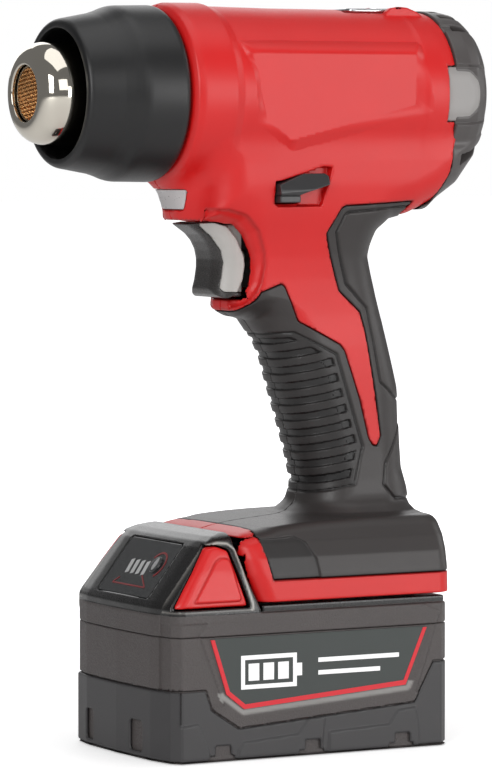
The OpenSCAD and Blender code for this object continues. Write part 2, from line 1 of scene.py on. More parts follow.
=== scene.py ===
# A cordless heat gun standing on its battery pack.
# The nozzle points along -X, up is +Z and the pack stands on Z = 0. The plane Y = 0 parts
# the left half (Y < 0) from the right. Shapes are worked out in millimetres, built in metres.
#
# Moulded pieces are fields: functions of x, y, z that are below zero inside the piece and
# about the distance to its surface elsewhere. A surface net turns each into a mesh.
# In the fields, `off` is the distance from the centre plane.
import itertools
import math
from functools import reduce

import bmesh
import bpy
import numpy as np
from mathutils import Matrix, Vector

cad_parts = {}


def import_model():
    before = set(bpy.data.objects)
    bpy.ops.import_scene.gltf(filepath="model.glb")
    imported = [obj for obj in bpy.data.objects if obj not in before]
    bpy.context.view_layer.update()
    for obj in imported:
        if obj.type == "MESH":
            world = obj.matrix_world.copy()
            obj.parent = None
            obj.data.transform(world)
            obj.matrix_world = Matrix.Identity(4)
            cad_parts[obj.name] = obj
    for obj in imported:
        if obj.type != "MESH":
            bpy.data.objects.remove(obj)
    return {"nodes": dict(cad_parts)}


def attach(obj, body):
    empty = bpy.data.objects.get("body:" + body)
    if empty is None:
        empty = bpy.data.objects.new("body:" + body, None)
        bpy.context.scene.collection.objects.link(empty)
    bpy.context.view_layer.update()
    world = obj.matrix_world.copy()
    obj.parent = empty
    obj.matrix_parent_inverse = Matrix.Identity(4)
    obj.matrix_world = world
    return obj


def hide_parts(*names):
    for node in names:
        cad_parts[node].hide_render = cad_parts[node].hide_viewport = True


cad_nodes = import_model()["nodes"]
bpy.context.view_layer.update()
F = np.float32
SCENE = bpy.context.scene

AXIS_Z = 239.2                          # height of the barrel's axis
HOOK_X, HOOK_Z = 50, 269.9              # axis of the hook's pin
WIRE_RADIUS = 0.85                      # the hook's wire
HOOK_HALF = 7.5                         # centre plane to the middle of the hook's legs
GAUGE_X, GAUGE_Z = -53.4, 66.8          # origin of the gauge on the pack's sloping front
SLOPE_RUN, SLOPE_RISE = 0.618, 0.786    # direction of that slope


# ---------------------------------------------------------------- combining fields
def outside(a, b):
    "Distance past the edge where two faces meet."
    return np.hypot(np.maximum(a, 0), np.maximum(b, 0))


def meet(*shapes):
    "Intersection with sharp edges."
    return reduce(np.maximum, shapes)


def meet_round(a, b, radius):
    "Intersection whose edge is rounded."
    return np.minimum(np.maximum(a, b), -radius) + outside(a + radius, b + radius)


def join_round(a, b, radius):
    "Union whose inner corner is filled."
    return np.maximum(np.minimum(a, b), radius) - outside(radius - a, radius - b)


def join_soft(a, b, width):
    "Union with a blended seam."
    h = np.maximum(width - np.abs(a - b), 0) / width
    return np.minimum(a, b) - h * h * width * 0.25


def carve(shape, tool, radius=0):
    "The shape with the tool taken away."
    return meet_round(shape, -tool, radius) if radius else np.maximum(shape, -tool)


def ramp(start, end, value):
    "Smooth rise from 0 at start to 1 at end."
    t = np.clip((value - start) / (end - start), 0, 1)
    return t * t * (3 - 2 * t)


def ridge(distance, width):
    "A soft line, 1 where the distance is zero."
    return np.exp(-(distance / width) ** 2)


def box(x, y, z, low, high, radius=0.0):
    "A block between two corners, with rounded edges."
    q = [np.abs(value - (a + b) / 2) - (b - a) / 2 + radius
         for value, a, b in zip((x, y, z), low, high)]
    beyond = np.sqrt(sum(np.maximum(part, 0) ** 2 for part in q))
    return beyond + np.minimum(meet(*q), 0) - radius


def gaussian(blur, spacing):
    "Weights of a blur, three deviations to each side."
    reach = int(3 * blur / spacing) + 1
    weights = np.exp(-0.5 * (np.arange(-reach, reach + 1) * spacing / blur) ** 2)
    return weights / weights.sum()


class Outline:
    "Distance to a closed outline, below zero inside, kept on a fine grid."
    def __init__(self, points, blur=0.0, spacing=0.3, margin=8):
        points = np.array(points, float)
        self.spacing, self.low = spacing, points.min(0) - margin
        count = np.ceil((points.max(0) + margin - self.low) / spacing).astype(int) + 1
        u, v = np.meshgrid(*[self.low[k] + spacing * np.arange(count[k]) for k in (0, 1)],
                           indexing="ij")
        nearest = np.full(u.shape, 1e9)
        inside = np.zeros(u.shape, bool)
        for (au, av), (bu, bv) in zip(points, np.roll(points, -1, 0)):
            du, dv = bu - au, bv - av
            t = ((u - au) * du + (v - av) * dv) / max(du * du + dv * dv, 1e-12)
            t = np.clip(t, 0, 1)
            nearest = np.minimum(nearest, (u - au - t * du) ** 2 + (v - av - t * dv) ** 2)
            if dv != 0:
                inside ^= ((av > v) != (bv > v)) & (u < du * (v - av) / dv + au)
        table = np.sqrt(nearest)
        table = np.where(inside, -table, table)
        if blur:
            weights = gaussian(blur, spacing)
            for axis in (0, 1):
                index = np.arange(table.shape[axis])
                table = sum(
                    weight * np.take(table, np.clip(index + shift, 0, len(index) - 1), axis)
                    for shift, weight in enumerate(weights, -(len(weights) // 2)))
        self.table = table.astype(F)

    def __call__(self, u, v):
        table = self.table
        a = (u - F(self.low[0])) / F(self.spacing)
        b = (v - F(self.low[1])) / F(self.spacing)
        ac = np.clip(a, 0, table.shape[0] - 1.001)
        bc = np.clip(b, 0, table.shape[1] - 1.001)
        i, j = ac.astype(np.int32), bc.astype(np.int32)
        fa, fb = ac - i, bc - j
        value = ((table[i, j] * (1 - fa) + table[i + 1, j] * fa) * (1 - fb)
                 + (table[i, j + 1] * (1 - fa) + table[i + 1, j + 1] * fa) * fb)
        return value + np.hypot(a - ac, b - bc) * F(self.spacing)


class Curve:
    "A smoothed table of (position, value) knots."
    def __init__(self, knots, blur):
        spacing = 0.1
        knots = np.array(sorted(knots), float)
        self.start, end = knots[0, 0] - 3, knots[-1, 0] + 3
        self.count = int((end - self.start) / spacing) + 1
        t = np.linspace(self.start, end, self.count)
        weights = gaussian(blur, spacing)
        values = np.pad(np.interp(t, knots[:, 0], knots[:, 1]), len(weights) // 2, mode="edge")
        self.values = np.convolve(values, weights, "valid").astype(F)
        self.spacing = t[1] - t[0]

    def __call__(self, t):
        a = np.clip((t - F(self.start)) / F(self.spacing), 0, self.count - 1.001)
        i = a.astype(np.int32)
        part = a - i
        return self.values[i] * (1 - part) + self.values[i + 1] * part


# ---------------------------------------------------------------- surface nets
BLOCK = 8                # cells along a block
BATCH = 900              # blocks sampled at once
CORNERS = list(itertools.product((0, 1), repeat=3))


def sample(field, axes):
    grid = np.meshgrid(*axes, indexing="ij")
    return field(*[part.ravel().astype(F) for part in grid]).reshape(grid[0].shape)


def corners_inside(inside):
    "How many of each cell's eight corners are inside."
    n = np.array(inside.shape) - 1
    return sum(inside[i:n[0] + i, j:n[1] + j, k:n[2] + k].astype(np.int8)
               for i, j, k in CORNERS)


def pick(table, index):
    return table[index[:, 0], index[:, 1], index[:, 2]]


def gradient(field, points, reach=0.08):
    "Value and slope of the field at each point."
    p = [points[:, k].astype(np.float64) for k in range(3)]
    slope = []
    for axis in range(3):
        ahead, behind = list(p), list(p)
        ahead[axis] = p[axis] + reach
        behind[axis] = p[axis] - reach
        slope.append(field(*ahead) - field(*behind))
    return field(*p).astype(float), (np.stack(slope, 1) / (2 * reach)).astype(float)


def sample_near_surface(field, low, high, cell):
    "Values on the lattice, and which cells lie in a block near the surface."
    blocks = np.maximum(np.ceil((high - low) / (cell * BLOCK)).astype(int), 1)
    size = cell * BLOCK
    edges = [low[k] + size * np.arange(blocks[k] + 1) for k in range(3)]
    centres = [low[k] + size * (np.arange(blocks[k]) + 0.5) for k in range(3)]
    total = corners_inside(sample(field, edges) < 0)
    near = np.abs(sample(field, centres)) < cell * BLOCK * math.sqrt(3) / 2 * 1.5
    chosen = np.argwhere(near | ((total > 0) & (total < 8)))
    values = np.ones(blocks * BLOCK + 1, F)
    known = np.zeros(blocks * BLOCK, bool)
    steps = np.arange(BLOCK + 1)
    offsets = np.stack(np.meshgrid(steps, steps, steps, indexing="ij"), -1).reshape(-1, 3)
    for s in range(0, len(chosen), BATCH):
        index = (chosen[s:s + BATCH][:, None, :] * BLOCK + offsets[None]).reshape(-1, 3)
        p = [(low[k] + cell * index[:, k]).astype(F) for k in range(3)]
        values[index[:, 0], index[:, 1], index[:, 2]] = field(*p)
    for i, j, k in chosen * BLOCK:
        known[i:i + BLOCK, j:j + BLOCK, k:k + BLOCK] = True
    return values, known


def surface_net(field, low, high, cell):
    "Vertices (mm), quads and normals of the field's zero surface in a box."
    low, high = np.array(low, float), np.array(high, float)
    values, known = sample_near_surface(field, low, high, cell)
    inside = values < 0
    total = corners_inside(inside)
    cells = np.argwhere((total > 0) & (total < 8) & known)
    number = np.full(known.shape, -1, np.int32)
    number[cells[:, 0], cells[:, 1], cells[:, 2]] = np.arange(len(cells))

    # one vertex in each cell, at the mean of its edge crossings
    total_place = np.zeros((len(cells), 3))
    crossings = np.zeros(len(cells))
    corner = {shift: pick(values, cells + np.array(shift)) for shift in CORNERS}
    for axis in range(3):
        for start in CORNERS:
            if start[axis]:
                continue
            end = list(start)
            end[axis] = 1
            v0, v1 = corner[start], corner[tuple(end)]
            crossed = (v0 < 0) != (v1 < 0)
            place = np.tile(np.array(start, float), (len(cells), 1))
            place[:, axis] = np.where(crossed, v0 / np.where(crossed, v0 - v1, 1), 0)
            total_place[crossed] += place[crossed]
            crossings[crossed] += 1
    points = low + cell * (cells + total_place / crossings[:, None])

    # one quad round each lattice edge whose ends differ in sign
    quads = []
    for axis in range(3):
        o1, o2 = (axis + 1) % 3, (axis + 2) % 3
        edges = np.argwhere(np.diff(inside, axis=axis))
        n = inside.shape
        edges = edges[(edges[:, o1] > 0) & (edges[:, o2] > 0)
                      & (edges[:, o1] < n[o1] - 1) & (edges[:, o2] < n[o2] - 1)]
        first = pick(inside, edges)
        around = []
        for d1, d2 in ((-1, -1), (0, -1), (0, 0), (-1, 0)):
            shifted = edges.copy()
            shifted[:, o1] += d1
            shifted[:, o2] += d2
            around.append(pick(number, shifted))
        quad = np.stack(around, 1)
        good = (quad >= 0).all(1)
        quad, first = quad[good], first[good]
        quad[~first] = quad[~first][:, ::-1]
        quads.append(quad)

    # draw the vertices onto the surface, by under half a cell each time
    for _ in range(2):
        value, slope = gradient(field, points)
        steepness = np.maximum((slope * slope).sum(1), 0.05)
        move = -(value / steepness)[:, None] * slope
        length = np.linalg.norm(move, axis=1, keepdims=True)
        points = points + move * np.minimum(1, 0.45 * cell / np.maximum(length, 1e-9))
    slope = gradient(field, points)[1]
    normals = slope / np.maximum(np.linalg.norm(slope, axis=1, keepdims=True), 1e-9)
    return points, np.concatenate(quads), normals


# ---------------------------------------------------------------- finishes
def linear(rgb):
    "An 8-bit sRGB colour as a linear RGBA value."
    parts = [v / 255 for v in rgb]
    return (*[v / 12.92 if v <= 0.04045 else ((v + 0.055) / 1.055) ** 2.4 for v in parts], 1)


def add_node(tree, kind, values=()):
    "A new shader node with some of its inputs set by name."
    node = tree.nodes.new(kind)
    for key, value in dict(values).items():
        node.inputs[key].default_value = value
    return node


def remap(tree, source, span, result):
    "A value mapped from one span to another."
    node = add_node(tree, "ShaderNodeMapRange", {
        "From Min": span[0], "From Max": span[1], "To Min": result[0], "To Max": result[1]})
    tree.links.new(source, node.inputs["Value"])
    return node.outputs["Result"]


def new_material(name):
    material = bpy.data.materials.new(name)
    material.use_nodes = True
    return material, material.node_tree, material.node_tree.nodes["Principled BSDF"]


def make_finish(name, rgb, rough, metal, grain, depth, bump, mottle, rough_spread=0.06,
                coat=0.0, zones=(), emission=0.0, extra=()):
    """Fine grain in the relief, slow variation in the colour, uneven gloss.
    Zones are (attribute, colour): the attribute mixes the colour in."""
    material, tree, shader = new_material(name)
    link = tree.links.new
    place = tree.nodes.new("ShaderNodeTexCoord")
    slow = add_node(tree, "ShaderNodeTexNoise", {"Scale": 38, "Detail": 4})
    link(place.outputs["Object"], slow.inputs["Vector"])
    fine = add_node(tree, "ShaderNodeTexNoise", {"Scale": grain, "Detail": 3, "Roughness": 0.65})
    link(place.outputs["Object"], fine.inputs["Vector"])
    base = tree.nodes.new("ShaderNodeRGB")
    base.outputs[0].default_value = linear(rgb)
    colour = base.outputs[0]
    for attribute, zone_rgb in zones:
        amount = tree.nodes.new("ShaderNodeAttribute")
        amount.attribute_name = attribute
        mix = tree.nodes.new("ShaderNodeMix")
        mix.data_type = "RGBA"
        link(amount.outputs["Fac"], mix.inputs["Factor"])
        link(colour, mix.inputs["A"])
        mix.inputs["B"].default_value = linear(zone_rgb)
        colour = mix.outputs["Result"]
    shift = tree.nodes.new("ShaderNodeHueSaturation")
    noise_span = (0.3, 0.7)
    link(remap(tree, slow.outputs["Fac"], noise_span, (1 - mottle, 1 + mottle)),
         shift.inputs["Value"])
    link(colour, shift.inputs["Color"])
    link(shift.outputs["Color"], shader.inputs["Base Color"])
    rough_span = (max(rough - rough_spread, 0.02), min(rough + rough_spread, 1))
    link(remap(tree, fine.outputs["Fac"], noise_span, rough_span), shader.inputs["Roughness"])
    relief = add_node(tree, "ShaderNodeBump", {"Strength": bump, "Distance": depth})
    link(fine.outputs["Fac"], relief.inputs["Height"])
    link(relief.outputs["Normal"], shader.inputs["Normal"])
    settings = {"Metallic": metal, "Coat Weight": coat, "Coat Roughness": 0.25,
                "Specular IOR Level": 0.5, **dict(extra)}
    for key, value in settings.items():
        shader.inputs[key].default_value = value
    if emission:
        link(shift.outputs["Color"], shader.inputs["Emission Color"])
        shader.inputs["Emission Strength"].default_value = emission
    return material


RED_SHADE = [("shade", (110, 8, 8))]
# On the grip, the first zone darkens the ribbed patch and paints shade into the ribs' grooves
# and the foot recess. The second zone paints shade into gaps and drawn-in lines.
GRIP_ZONES = [("rib", (22, 21, 21)), ("shade", (6, 6, 6))]
# key: material name, sRGB colour, roughness, metallic,
#      grain scale, grain depth (m), bump strength, colour mottle, other settings
FINISHES = {
    "red": ("moulded_red", (204, 18, 18), 0.40, 0,
            2600, 4e-5, 0.32, 0.03, dict(zones=RED_SHADE)),
    "red_smooth": ("moulded_red_smooth", (206, 20, 20), 0.34, 0,
                   1500, 2e-5, 0.15, 0.02, dict(zones=RED_SHADE)),
    "grip": ("moulded_soft_grip", (50, 46, 45), 0.42, 0,
             2000, 6e-5, 0.4, 0.05, dict(zones=GRIP_ZONES)),
    "guard": ("glass_filled_black", (15, 15, 16), 0.40, 0, 2300, 4e-5, 0.3, 0.06),
    "dark": ("moulded_dark", (42, 42, 43), 0.45, 0, 2200, 4e-5, 0.3, 0.05),
    "rear": ("moulded_rear_cup", (76, 72, 71), 0.38, 0, 2200, 4e-5, 0.3, 0.05),
    "pane": ("moulded_grey_pane", (146, 143, 141), 0.42, 0, 2200, 3e-5, 0.25, 0.03),
    "chrome": ("polished_steel", (214, 208, 196), 0.07, 1,
               900, 1e-5, 0.06, 0.04, dict(rough_spread=0.03)),
    "heat_steel": ("heated_steel", (150, 138, 120), 0.28, 1, 1400, 2e-5, 0.15, 0.12),
    # on the pack the pale zone is a painted highlight along the label's bevel
    "pack": ("moulded_pack_grained", (76, 71, 70), 0.50, 0, 1350, 3e-4, 0.9, 0.05,
             dict(rough_spread=0.12, zones=[("rib", (150, 149, 146))])),
    "pack_smooth": ("moulded_pack_smooth", (58, 57, 58), 0.46, 0, 2600, 3e-5, 0.25, 0.05),
    # on the cap the pale zone is a painted highlight round each release button
    "cap": ("moulded_cap_gloss", (14, 13, 13), 0.3, 0, 1500, 2e-5, 0.12, 0.04,
            dict(coat=0.12, zones=[("rib", (178, 174, 168))])),
    "gauge": ("gauge_gloss", (24, 26, 27), 0.16, 0, 1200, 1e-5, 0.08, 0.03, dict(coat=0.6)),
    "label": ("label_film", (52, 58, 56), 0.42, 0, 3200, 2e-5, 0.2, 0.02),
    # the white print is given a faint glow: painted light
    "white": ("white_ink", (246, 246, 246), 0.5, 0, 3000, 1e-5, 0.1, 0.01, dict(emission=0.12)),
    "redink": ("red_ink", (214, 30, 44), 0.45, 0, 3000, 1e-5, 0.1, 0.02),
    "dark_ink": ("dark_ink", (30, 30, 30), 0.5, 0, 3000, 1e-5, 0.1, 0.02),
    "lamp": ("gauge_lamp", (176, 176, 176), 0.35, 0, 1500, 1e-5, 0.1, 0.03),
    "lamp_line": ("gauge_red_line", (120, 22, 26), 0.4, 0, 1500, 1e-5, 0.1, 0.03),
    # a painted highlight for the gauge key
    "key_highlight": ("gauge_button_face", (150, 150, 150), 0.3, 0, 1500, 1e-5, 0.1, 0.03),
    "trigger_dark": ("trigger_black", (50, 48, 47), 0.28, 0, 1500, 2e-5, 0.15, 0.05),
    # the trigger's sides are painted light grey: a painted reflection of the softbox in their
    # gloss
    "trigger_grey": ("trigger_grey", (172, 170, 166), 0.42, 0, 2400, 4e-5, 0.35, 0.03),
    "shuttle": ("shuttle_black", (46, 46, 47), 0.34, 0, 2200, 3e-5, 0.25, 0.05),
    "hook": ("bright_steel", (200, 200, 202), 0.22, 1, 1500, 1e-5, 0.1, 0.04),
    "steel": ("turned_steel", (180, 180, 180), 0.3, 1, 1600, 2e-5, 0.15, 0.05),
    "screw": ("black_oxide_steel", (46, 46, 50), 0.36, 0.9, 1800, 2e-5, 0.2, 0.08),
    "bronze": ("sintered_bronze", (150, 104, 58), 0.42, 1, 2600, 3e-5, 0.3, 0.1),
    "copper": ("armature_copper", (190, 110, 70), 0.35, 1, 2000, 3e-5, 0.3, 0.12),
    "wire": ("heater_alloy", (120, 112, 106), 0.35, 1, 2200, 2e-5, 0.2, 0.12),
    "mica": ("mica_sheet", (206, 186, 150), 0.4, 0, 1100, 5e-5, 0.4, 0.12),
    "ceramic": ("steatite", (228, 222, 208), 0.5, 0, 2400, 3e-5, 0.3, 0.04),
    "black": ("moulded_black", (24, 24, 25), 0.5, 0, 2200, 4e-5, 0.3, 0.06),
    "natural": ("natural_nylon", (222, 219, 208), 0.45, 0, 2400, 3e-5, 0.25, 0.03),
    "board": ("circuit_board_mask", (22, 92, 50), 0.35, 0, 1400, 4e-5, 0.4, 0.1),
    "lead": ("silicone_lead", (160, 22, 22), 0.4, 0, 1800, 2e-5, 0.2, 0.04),
    "contact": ("plated_contact", (214, 176, 96), 0.22, 1, 1600, 1e-5, 0.1, 0.06),
    "nickel": ("nickel_strip", (190, 190, 186), 0.28, 1, 1600, 2e-5, 0.15, 0.06),
    "cell": ("cell_sleeve", (60, 96, 160), 0.35, 0, 1800, 2e-5, 0.15, 0.04),
    "lens": ("frosted_lens", (206, 202, 202), 0.32, 0, 900, 1.2e-4, 0.5, 0.1,
             dict(extra={"Transmission Weight": 0.25, "IOR": 1.46})),
    "weave": ("woven_copper_wire", (214, 160, 104), 0.24, 1, 1500, 4e-5, 0.6, 0.3),
}
MATERIALS = {key: make_finish(*row[:8], **(row[8] if len(row) > 8 else {}))
             for key, row in FINISHES.items()}

# finish: the CAD pieces that wear it
CAD_PIECES = {
    "red": "housing_left housing_right", "grip": "grip_cover_left grip_cover_right",
    "rear": "rear_cover", "guard": "nozzle_guard", "chrome": "nozzle",
    "black": "intake_screen fan_shroud trigger_switch terminal_block",
    "weave": "outlet_screen", "mica": "insulating_ring heater_liner",
    "heat_steel": "heater_tube", "ceramic": "heater_core", "wire": "heating_coil",
    "natural": "thermal_fuse switch_plunger cell_frame", "dark": "impeller",
    "steel": "motor_can motor_shaft hook_pin trigger_spring latch_springs pack_screws",
    "copper": "armature", "bronze": "bearings", "hook": "hanging_hook", "lens": "led_lens",
    "board": "led_board control_board pack_board", "trigger_grey": "trigger",
    "shuttle": "lock_shuttle", "lead": "supply_leads", "screw": "housing_screws",
    "contact": "terminal_blades pack_terminals", "pack": "pack_lower_case",
    "cap": "pack_upper_case", "pack_smooth": "pack_bumper",
    "label": "pack_label_left pack_label_right", "gauge": "gauge_panel",
    "lamp": "gauge_lights", "key_highlight": "gauge_button", "cell": "cells",
    "red_smooth": "release_button_left release_button_right", "nickel": "cell_tabs",
}
CAD_FINISH = {piece: key for key, pieces in CAD_PIECES.items() for piece in pieces.split()}
for node_name, node_object in cad_nodes.items():
    node_object.data.materials.clear()
    node_object.data.materials.append(MATERIALS[CAD_FINISH[node_name]])
    for polygon in node_object.data.polygons:
        polygon.use_smooth = False


# ---------------------------------------------------------------- objects
def add_object(name, data):
    ob = bpy.data.objects.new(name, data)
    SCENE.collection.objects.link(ob)
    return ob


def register(ob, body, replaces, slot, finish):
    """What the object moves with, the CAD piece it replaces, its slot (not used) and its finish.
    """
    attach(ob, body)
    if replaces:
        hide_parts(replaces)
    ob.data.materials.append(MATERIALS[finish])
    return ob


def set_smooth(mesh, smooth=True):
    mesh.polygons.foreach_set("use_smooth", np.full(len(mesh.polygons), smooth))


def quad_object(name, points, quads, normals=None, attributes=None, scale=0.001):
    mesh = bpy.data.meshes.new(name)
    mesh.vertices.add(len(points))
    mesh.vertices.foreach_set("co", (points * scale).astype(F).ravel())
    mesh.loops.add(len(quads) * 4)
    mesh.loops.foreach_set("vertex_index", quads.astype(np.int32).ravel())
    mesh.polygons.add(len(quads))
    mesh.polygons.foreach_set("loop_start", np.arange(0, len(quads) * 4, 4, dtype=np.int32))
    mesh.update(calc_edges=True)
    mesh.validate()
    for key, values in (attributes or {}).items():
        attribute = mesh.attributes.new(key, "FLOAT", "POINT")
        attribute.data.foreach_set("value", np.asarray(values, F))
    set_smooth(mesh)
    if normals is not None:
        mesh.normals_split_custom_set_from_vertices(normals.astype(F))
    return add_object(name, mesh)


def piece(name, field, low, high, cell, tags, attributes=None):
    """A piece from a field. Tags are the last arguments of register, and attributes are
    fields kept at the vertices. Returns what mirror_piece needs."""
    points, quads, normals = surface_net(field, low, high, cell)
    values = {key: fn(*[points[:, k].astype(F) for k in range(3)])
              for key, fn in (attributes or {}).items()}
    ob = register(quad_object(name, points, quads, normals, values), *tags)
    return ob, normals, values


def mirror_piece(source, name, tags):
    "The same piece on the other side of the centre plane."
    ob, normals, values = source
    flip = np.array([1, -1, 1])
    points = np.zeros(len(ob.data.vertices) * 3, F)
    ob.data.vertices.foreach_get("co", points)
    corners = np.zeros(len(ob.data.loops), np.int32)
    ob.data.loops.foreach_get("vertex_index", corners)
    quads = corners.reshape(-1, 4)[:, ::-1]
    register(quad_object(name, points.reshape(-1, 3) * flip, quads, normals * flip, values,
                         scale=1.0), *tags)


# ---------------------------------------------------------------- tool casing
# along the axis (x), radius
BARREL = Outline([
    (-46.9, -60), (-46.9, 28), (-46.2, 30.6), (-44.9, 32.3), (-42.6, 33), (-29.6, 33),
    (-26.2, 31.85), (0, 31.3), (50, 31), (52, 31.2), (59, 30.8), (64.4, 30.2), (64.4, -60),
], blur=0.25, spacing=0.25)

# From here to FOOT_RECESS, outlines are (x, z) seen from the side.
GRIP_SIDE = [
    (-37, 228), (-36, 216), (-34.5, 206), (-34.5, 193.1), (-28.3, 193.1), (-22.7, 191.6),
    (-18.4, 187.1), (-15.4, 180.5), (-15, 177), (-15.8, 171.4), (-18.3, 166.4), (-19.3, 165),
    (-19.3, 163.7), (-19, 160.1), (-15.2, 157.8), (-12.3, 157.4), (-9.1, 156.4), (-6, 152.3),
    (-2.9, 147.8), (0, 141.8), (2.9, 131.7), (6.9, 118.6), (10.7, 105.5), (13.1, 96.1),
    (13.5, 89.7), (13.5, 80), (57, 80), (57, 88), (56.2, 93.5), (53.9, 101), (53.6, 106.6),
    (53.1, 114), (52.5, 125.3), (51.9, 131), (49.5, 140.3), (45.5, 155.3), (41.5, 168.4),
    (37.8, 179.6), (37.9, 183.3), (38.9, 188.8), (43.1, 193.2)]
LOBE_BACK = [(62.9, 200.4), (70.8, 206), (78.3, 216), (83, 228)]
GRIP = Outline(GRIP_SIDE + [(51.3, 195), (58.8, 199.6), (61, 204), (63.8, 210), (64.3, 216),
                            (64.3, 228)], blur=0.55, margin=12)
GRIP_AND_LOBE = Outline(GRIP_SIDE + [(51.3, 195.2)] + LOBE_BACK, blur=0.55, margin=12)
LOBE = Outline([(30, 228)] + LOBE_BACK[::-1] + [(59, 196.4), (30, 196.4)], blur=0.5, margin=12)
FOOT = Outline([
    (-22, 50), (-24, 56.3), (-28, 66), (-30.7, 76), (-29.6, 79.5), (-26.5, 82), (-22.6, 83.6),
    (-18, 84.6), (-12, 110), (56.4, 110), (56.7, 84), (57.2, 77), (57.2, 50),
], blur=0.3, margin=10)
PANEL_FACE = Outline([(-22.5, 254), (47, 254), (46.6, 235.2), (-5.4, 222.2), (-15.6, 229.2),
                      (-18, 238), (-19.4, 247)], margin=14)
PANEL_EDGE = Outline([(-26, 258.4), (50.6, 258.2), (54.2, 232.6), (-3.7, 218.4),
                      (-19.8, 228.3), (-20.8, 237.5), (-21.8, 247)], margin=14)
TRIGGER_ARC = Outline([
    (-60, 193.4), (-36, 193.3), (-28.3, 193.2), (-22.8, 191.7), (-18.5, 187.2), (-15.5, 180.5),
    (-15.1, 177), (-15.9, 171.4), (-18.4, 166.3), (-21, 164.5), (-24, 163), (-60, 163),
], blur=0.4, margin=12)
SHUTTLE_POCKET = Outline([(-9.6, 207.2), (-9.4, 198.4), (9.4, 198.4), (13.2, 212.6),
                          (9.4, 212.9), (2.6, 210.8)], blur=0.2, spacing=0.25)
EAR = Outline([(43, 262), (44.4, 269.4), (46.6, 270.9), (50, 271.4), (53.5, 271.1),
               (58, 269.4), (61, 267), (61, 262)], blur=0.3, spacing=0.2, margin=5)
COVER = Outline([
    (-17.3, 160.2), (-13.1, 164.1), (-11.5, 167.3), (-3.5, 170.2), (-1.9, 169), (4.5, 156.2),
    (21.3, 147.5), (23.4, 145), (30, 127), (34.1, 112.3), (35.8, 109.9), (37.4, 109.6),
    (39, 113), (36.8, 126.8), (31.9, 152.4), (29.9, 159), (20.7, 167.1), (13.3, 188.3),
    (18, 197.6), (19.6, 198.5), (49.6, 200), (46.5, 195.2), (90, 185), (90, 64.1),
    (-18.7, 64.1), (-22.3, 79.3), (-25.8, 80.6), (-25.8, 100), (-40, 120), (-60, 152),
], blur=0.25, margin=14)
COVER_PANEL = Outline([
    (46.1, 198), (21.2, 196.1), (19.8, 195.2), (17.4, 188.7), (23.7, 169.4), (33.2, 160.3),
    (38.7, 132.9), (45.1, 128.2), (70, 118), (70, 198)], blur=0.15)
BACK_PATCH = Outline([(70, 134), (48.8, 114.9), (41.1, 102.8), (40.1, 94.9), (44.7, 89.9),
                      (70, 88.6)], blur=0.15)
RIB_BORDER = Outline([(-40, 151.6), (-16.5, 150.3), (3.2, 152.1), (19.9, 143.8),
                      (31.4, 109.6), (27.8, 95.6), (0, 89.7), (-40, 86)], blur=0.15)
RIB_FIELD = Outline([(-40, 150), (-16.5, 148.9), (2.6, 150.4), (18.4, 142.6),
                     (29.3, 109.8), (26.2, 97.2), (0, 91.5), (-40, 88)], blur=0.15)
FOOT_RECESS = Outline([(-22.6, 79), (-7.4, 79.6), (-3.2, 77.4), (0.2, 71.1), (1.4, 63),
                       (-22, 63)], blur=0.2, spacing=0.25)

# height, half width or corner radius
GRIP_WIDTH = Curve([
    (240, 28.5), (225, 27.6), (216, 27), (206, 26.5), (200, 25.5), (195, 24.4), (192.4, 23.5),
    (187, 21.5), (180, 19.6), (172, 18.5), (164, 18), (158, 17.8), (153, 18), (147, 18.3),
    (136, 18.2), (122, 17.8), (108, 17.5), (98, 17.8), (80, 18.2)], 1.5)
CORNER = Curve([(240, 14), (206, 13), (200, 12), (192.4, 11), (187, 13), (180, 14.5),
                (172, 15), (164, 15.5), (158, 15.5), (147, 16), (98, 15.5)], 1.5)
FRONT_CORNER = Curve([(240, 14), (206, 13), (200, 12), (194, 9), (188, 6.5), (180, 6),
                      (172, 6), (167, 7.5), (163.5, 13), (158, 15.5), (147, 16),
                      (98, 15.5)], 0.8)
CHIN_WIDTH = Curve([(220, 15.4), (207, 15), (198, 14.5), (190, 13.6)], 1)
FOOT_WIDTH = Curve([(50, 40), (56.4, 40), (66, 39.6), (72, 38.4), (77.6, 36), (82.4, 32.6),
                    (86, 31), (100, 31)], 0.35)
# distance out from the grip, height of the foot's top
FLARE = Curve([(-6, 103), (-1, 97), (0, 93.6), (0.5, 91.6), (1.2, 89.4), (2, 88.3), (3, 87.3),
               (5.4, 85.4), (9, 84.6), (14, 84.3), (20, 84.1), (40, 83.9)], 0.4)
# x, z, distance out of the hole's mouth
SCREWS = [(-27, 203.4, 22.5), (30, 201, 25.5), (-3, 161.4, 17.6), (24, 175, 18.2),
          (10, 146, 18.2), (22, 100, 17.4), (48, 93, 20.4), (-15, 74.5, 37.2),
          (49.5, 74.5, 37.2)]


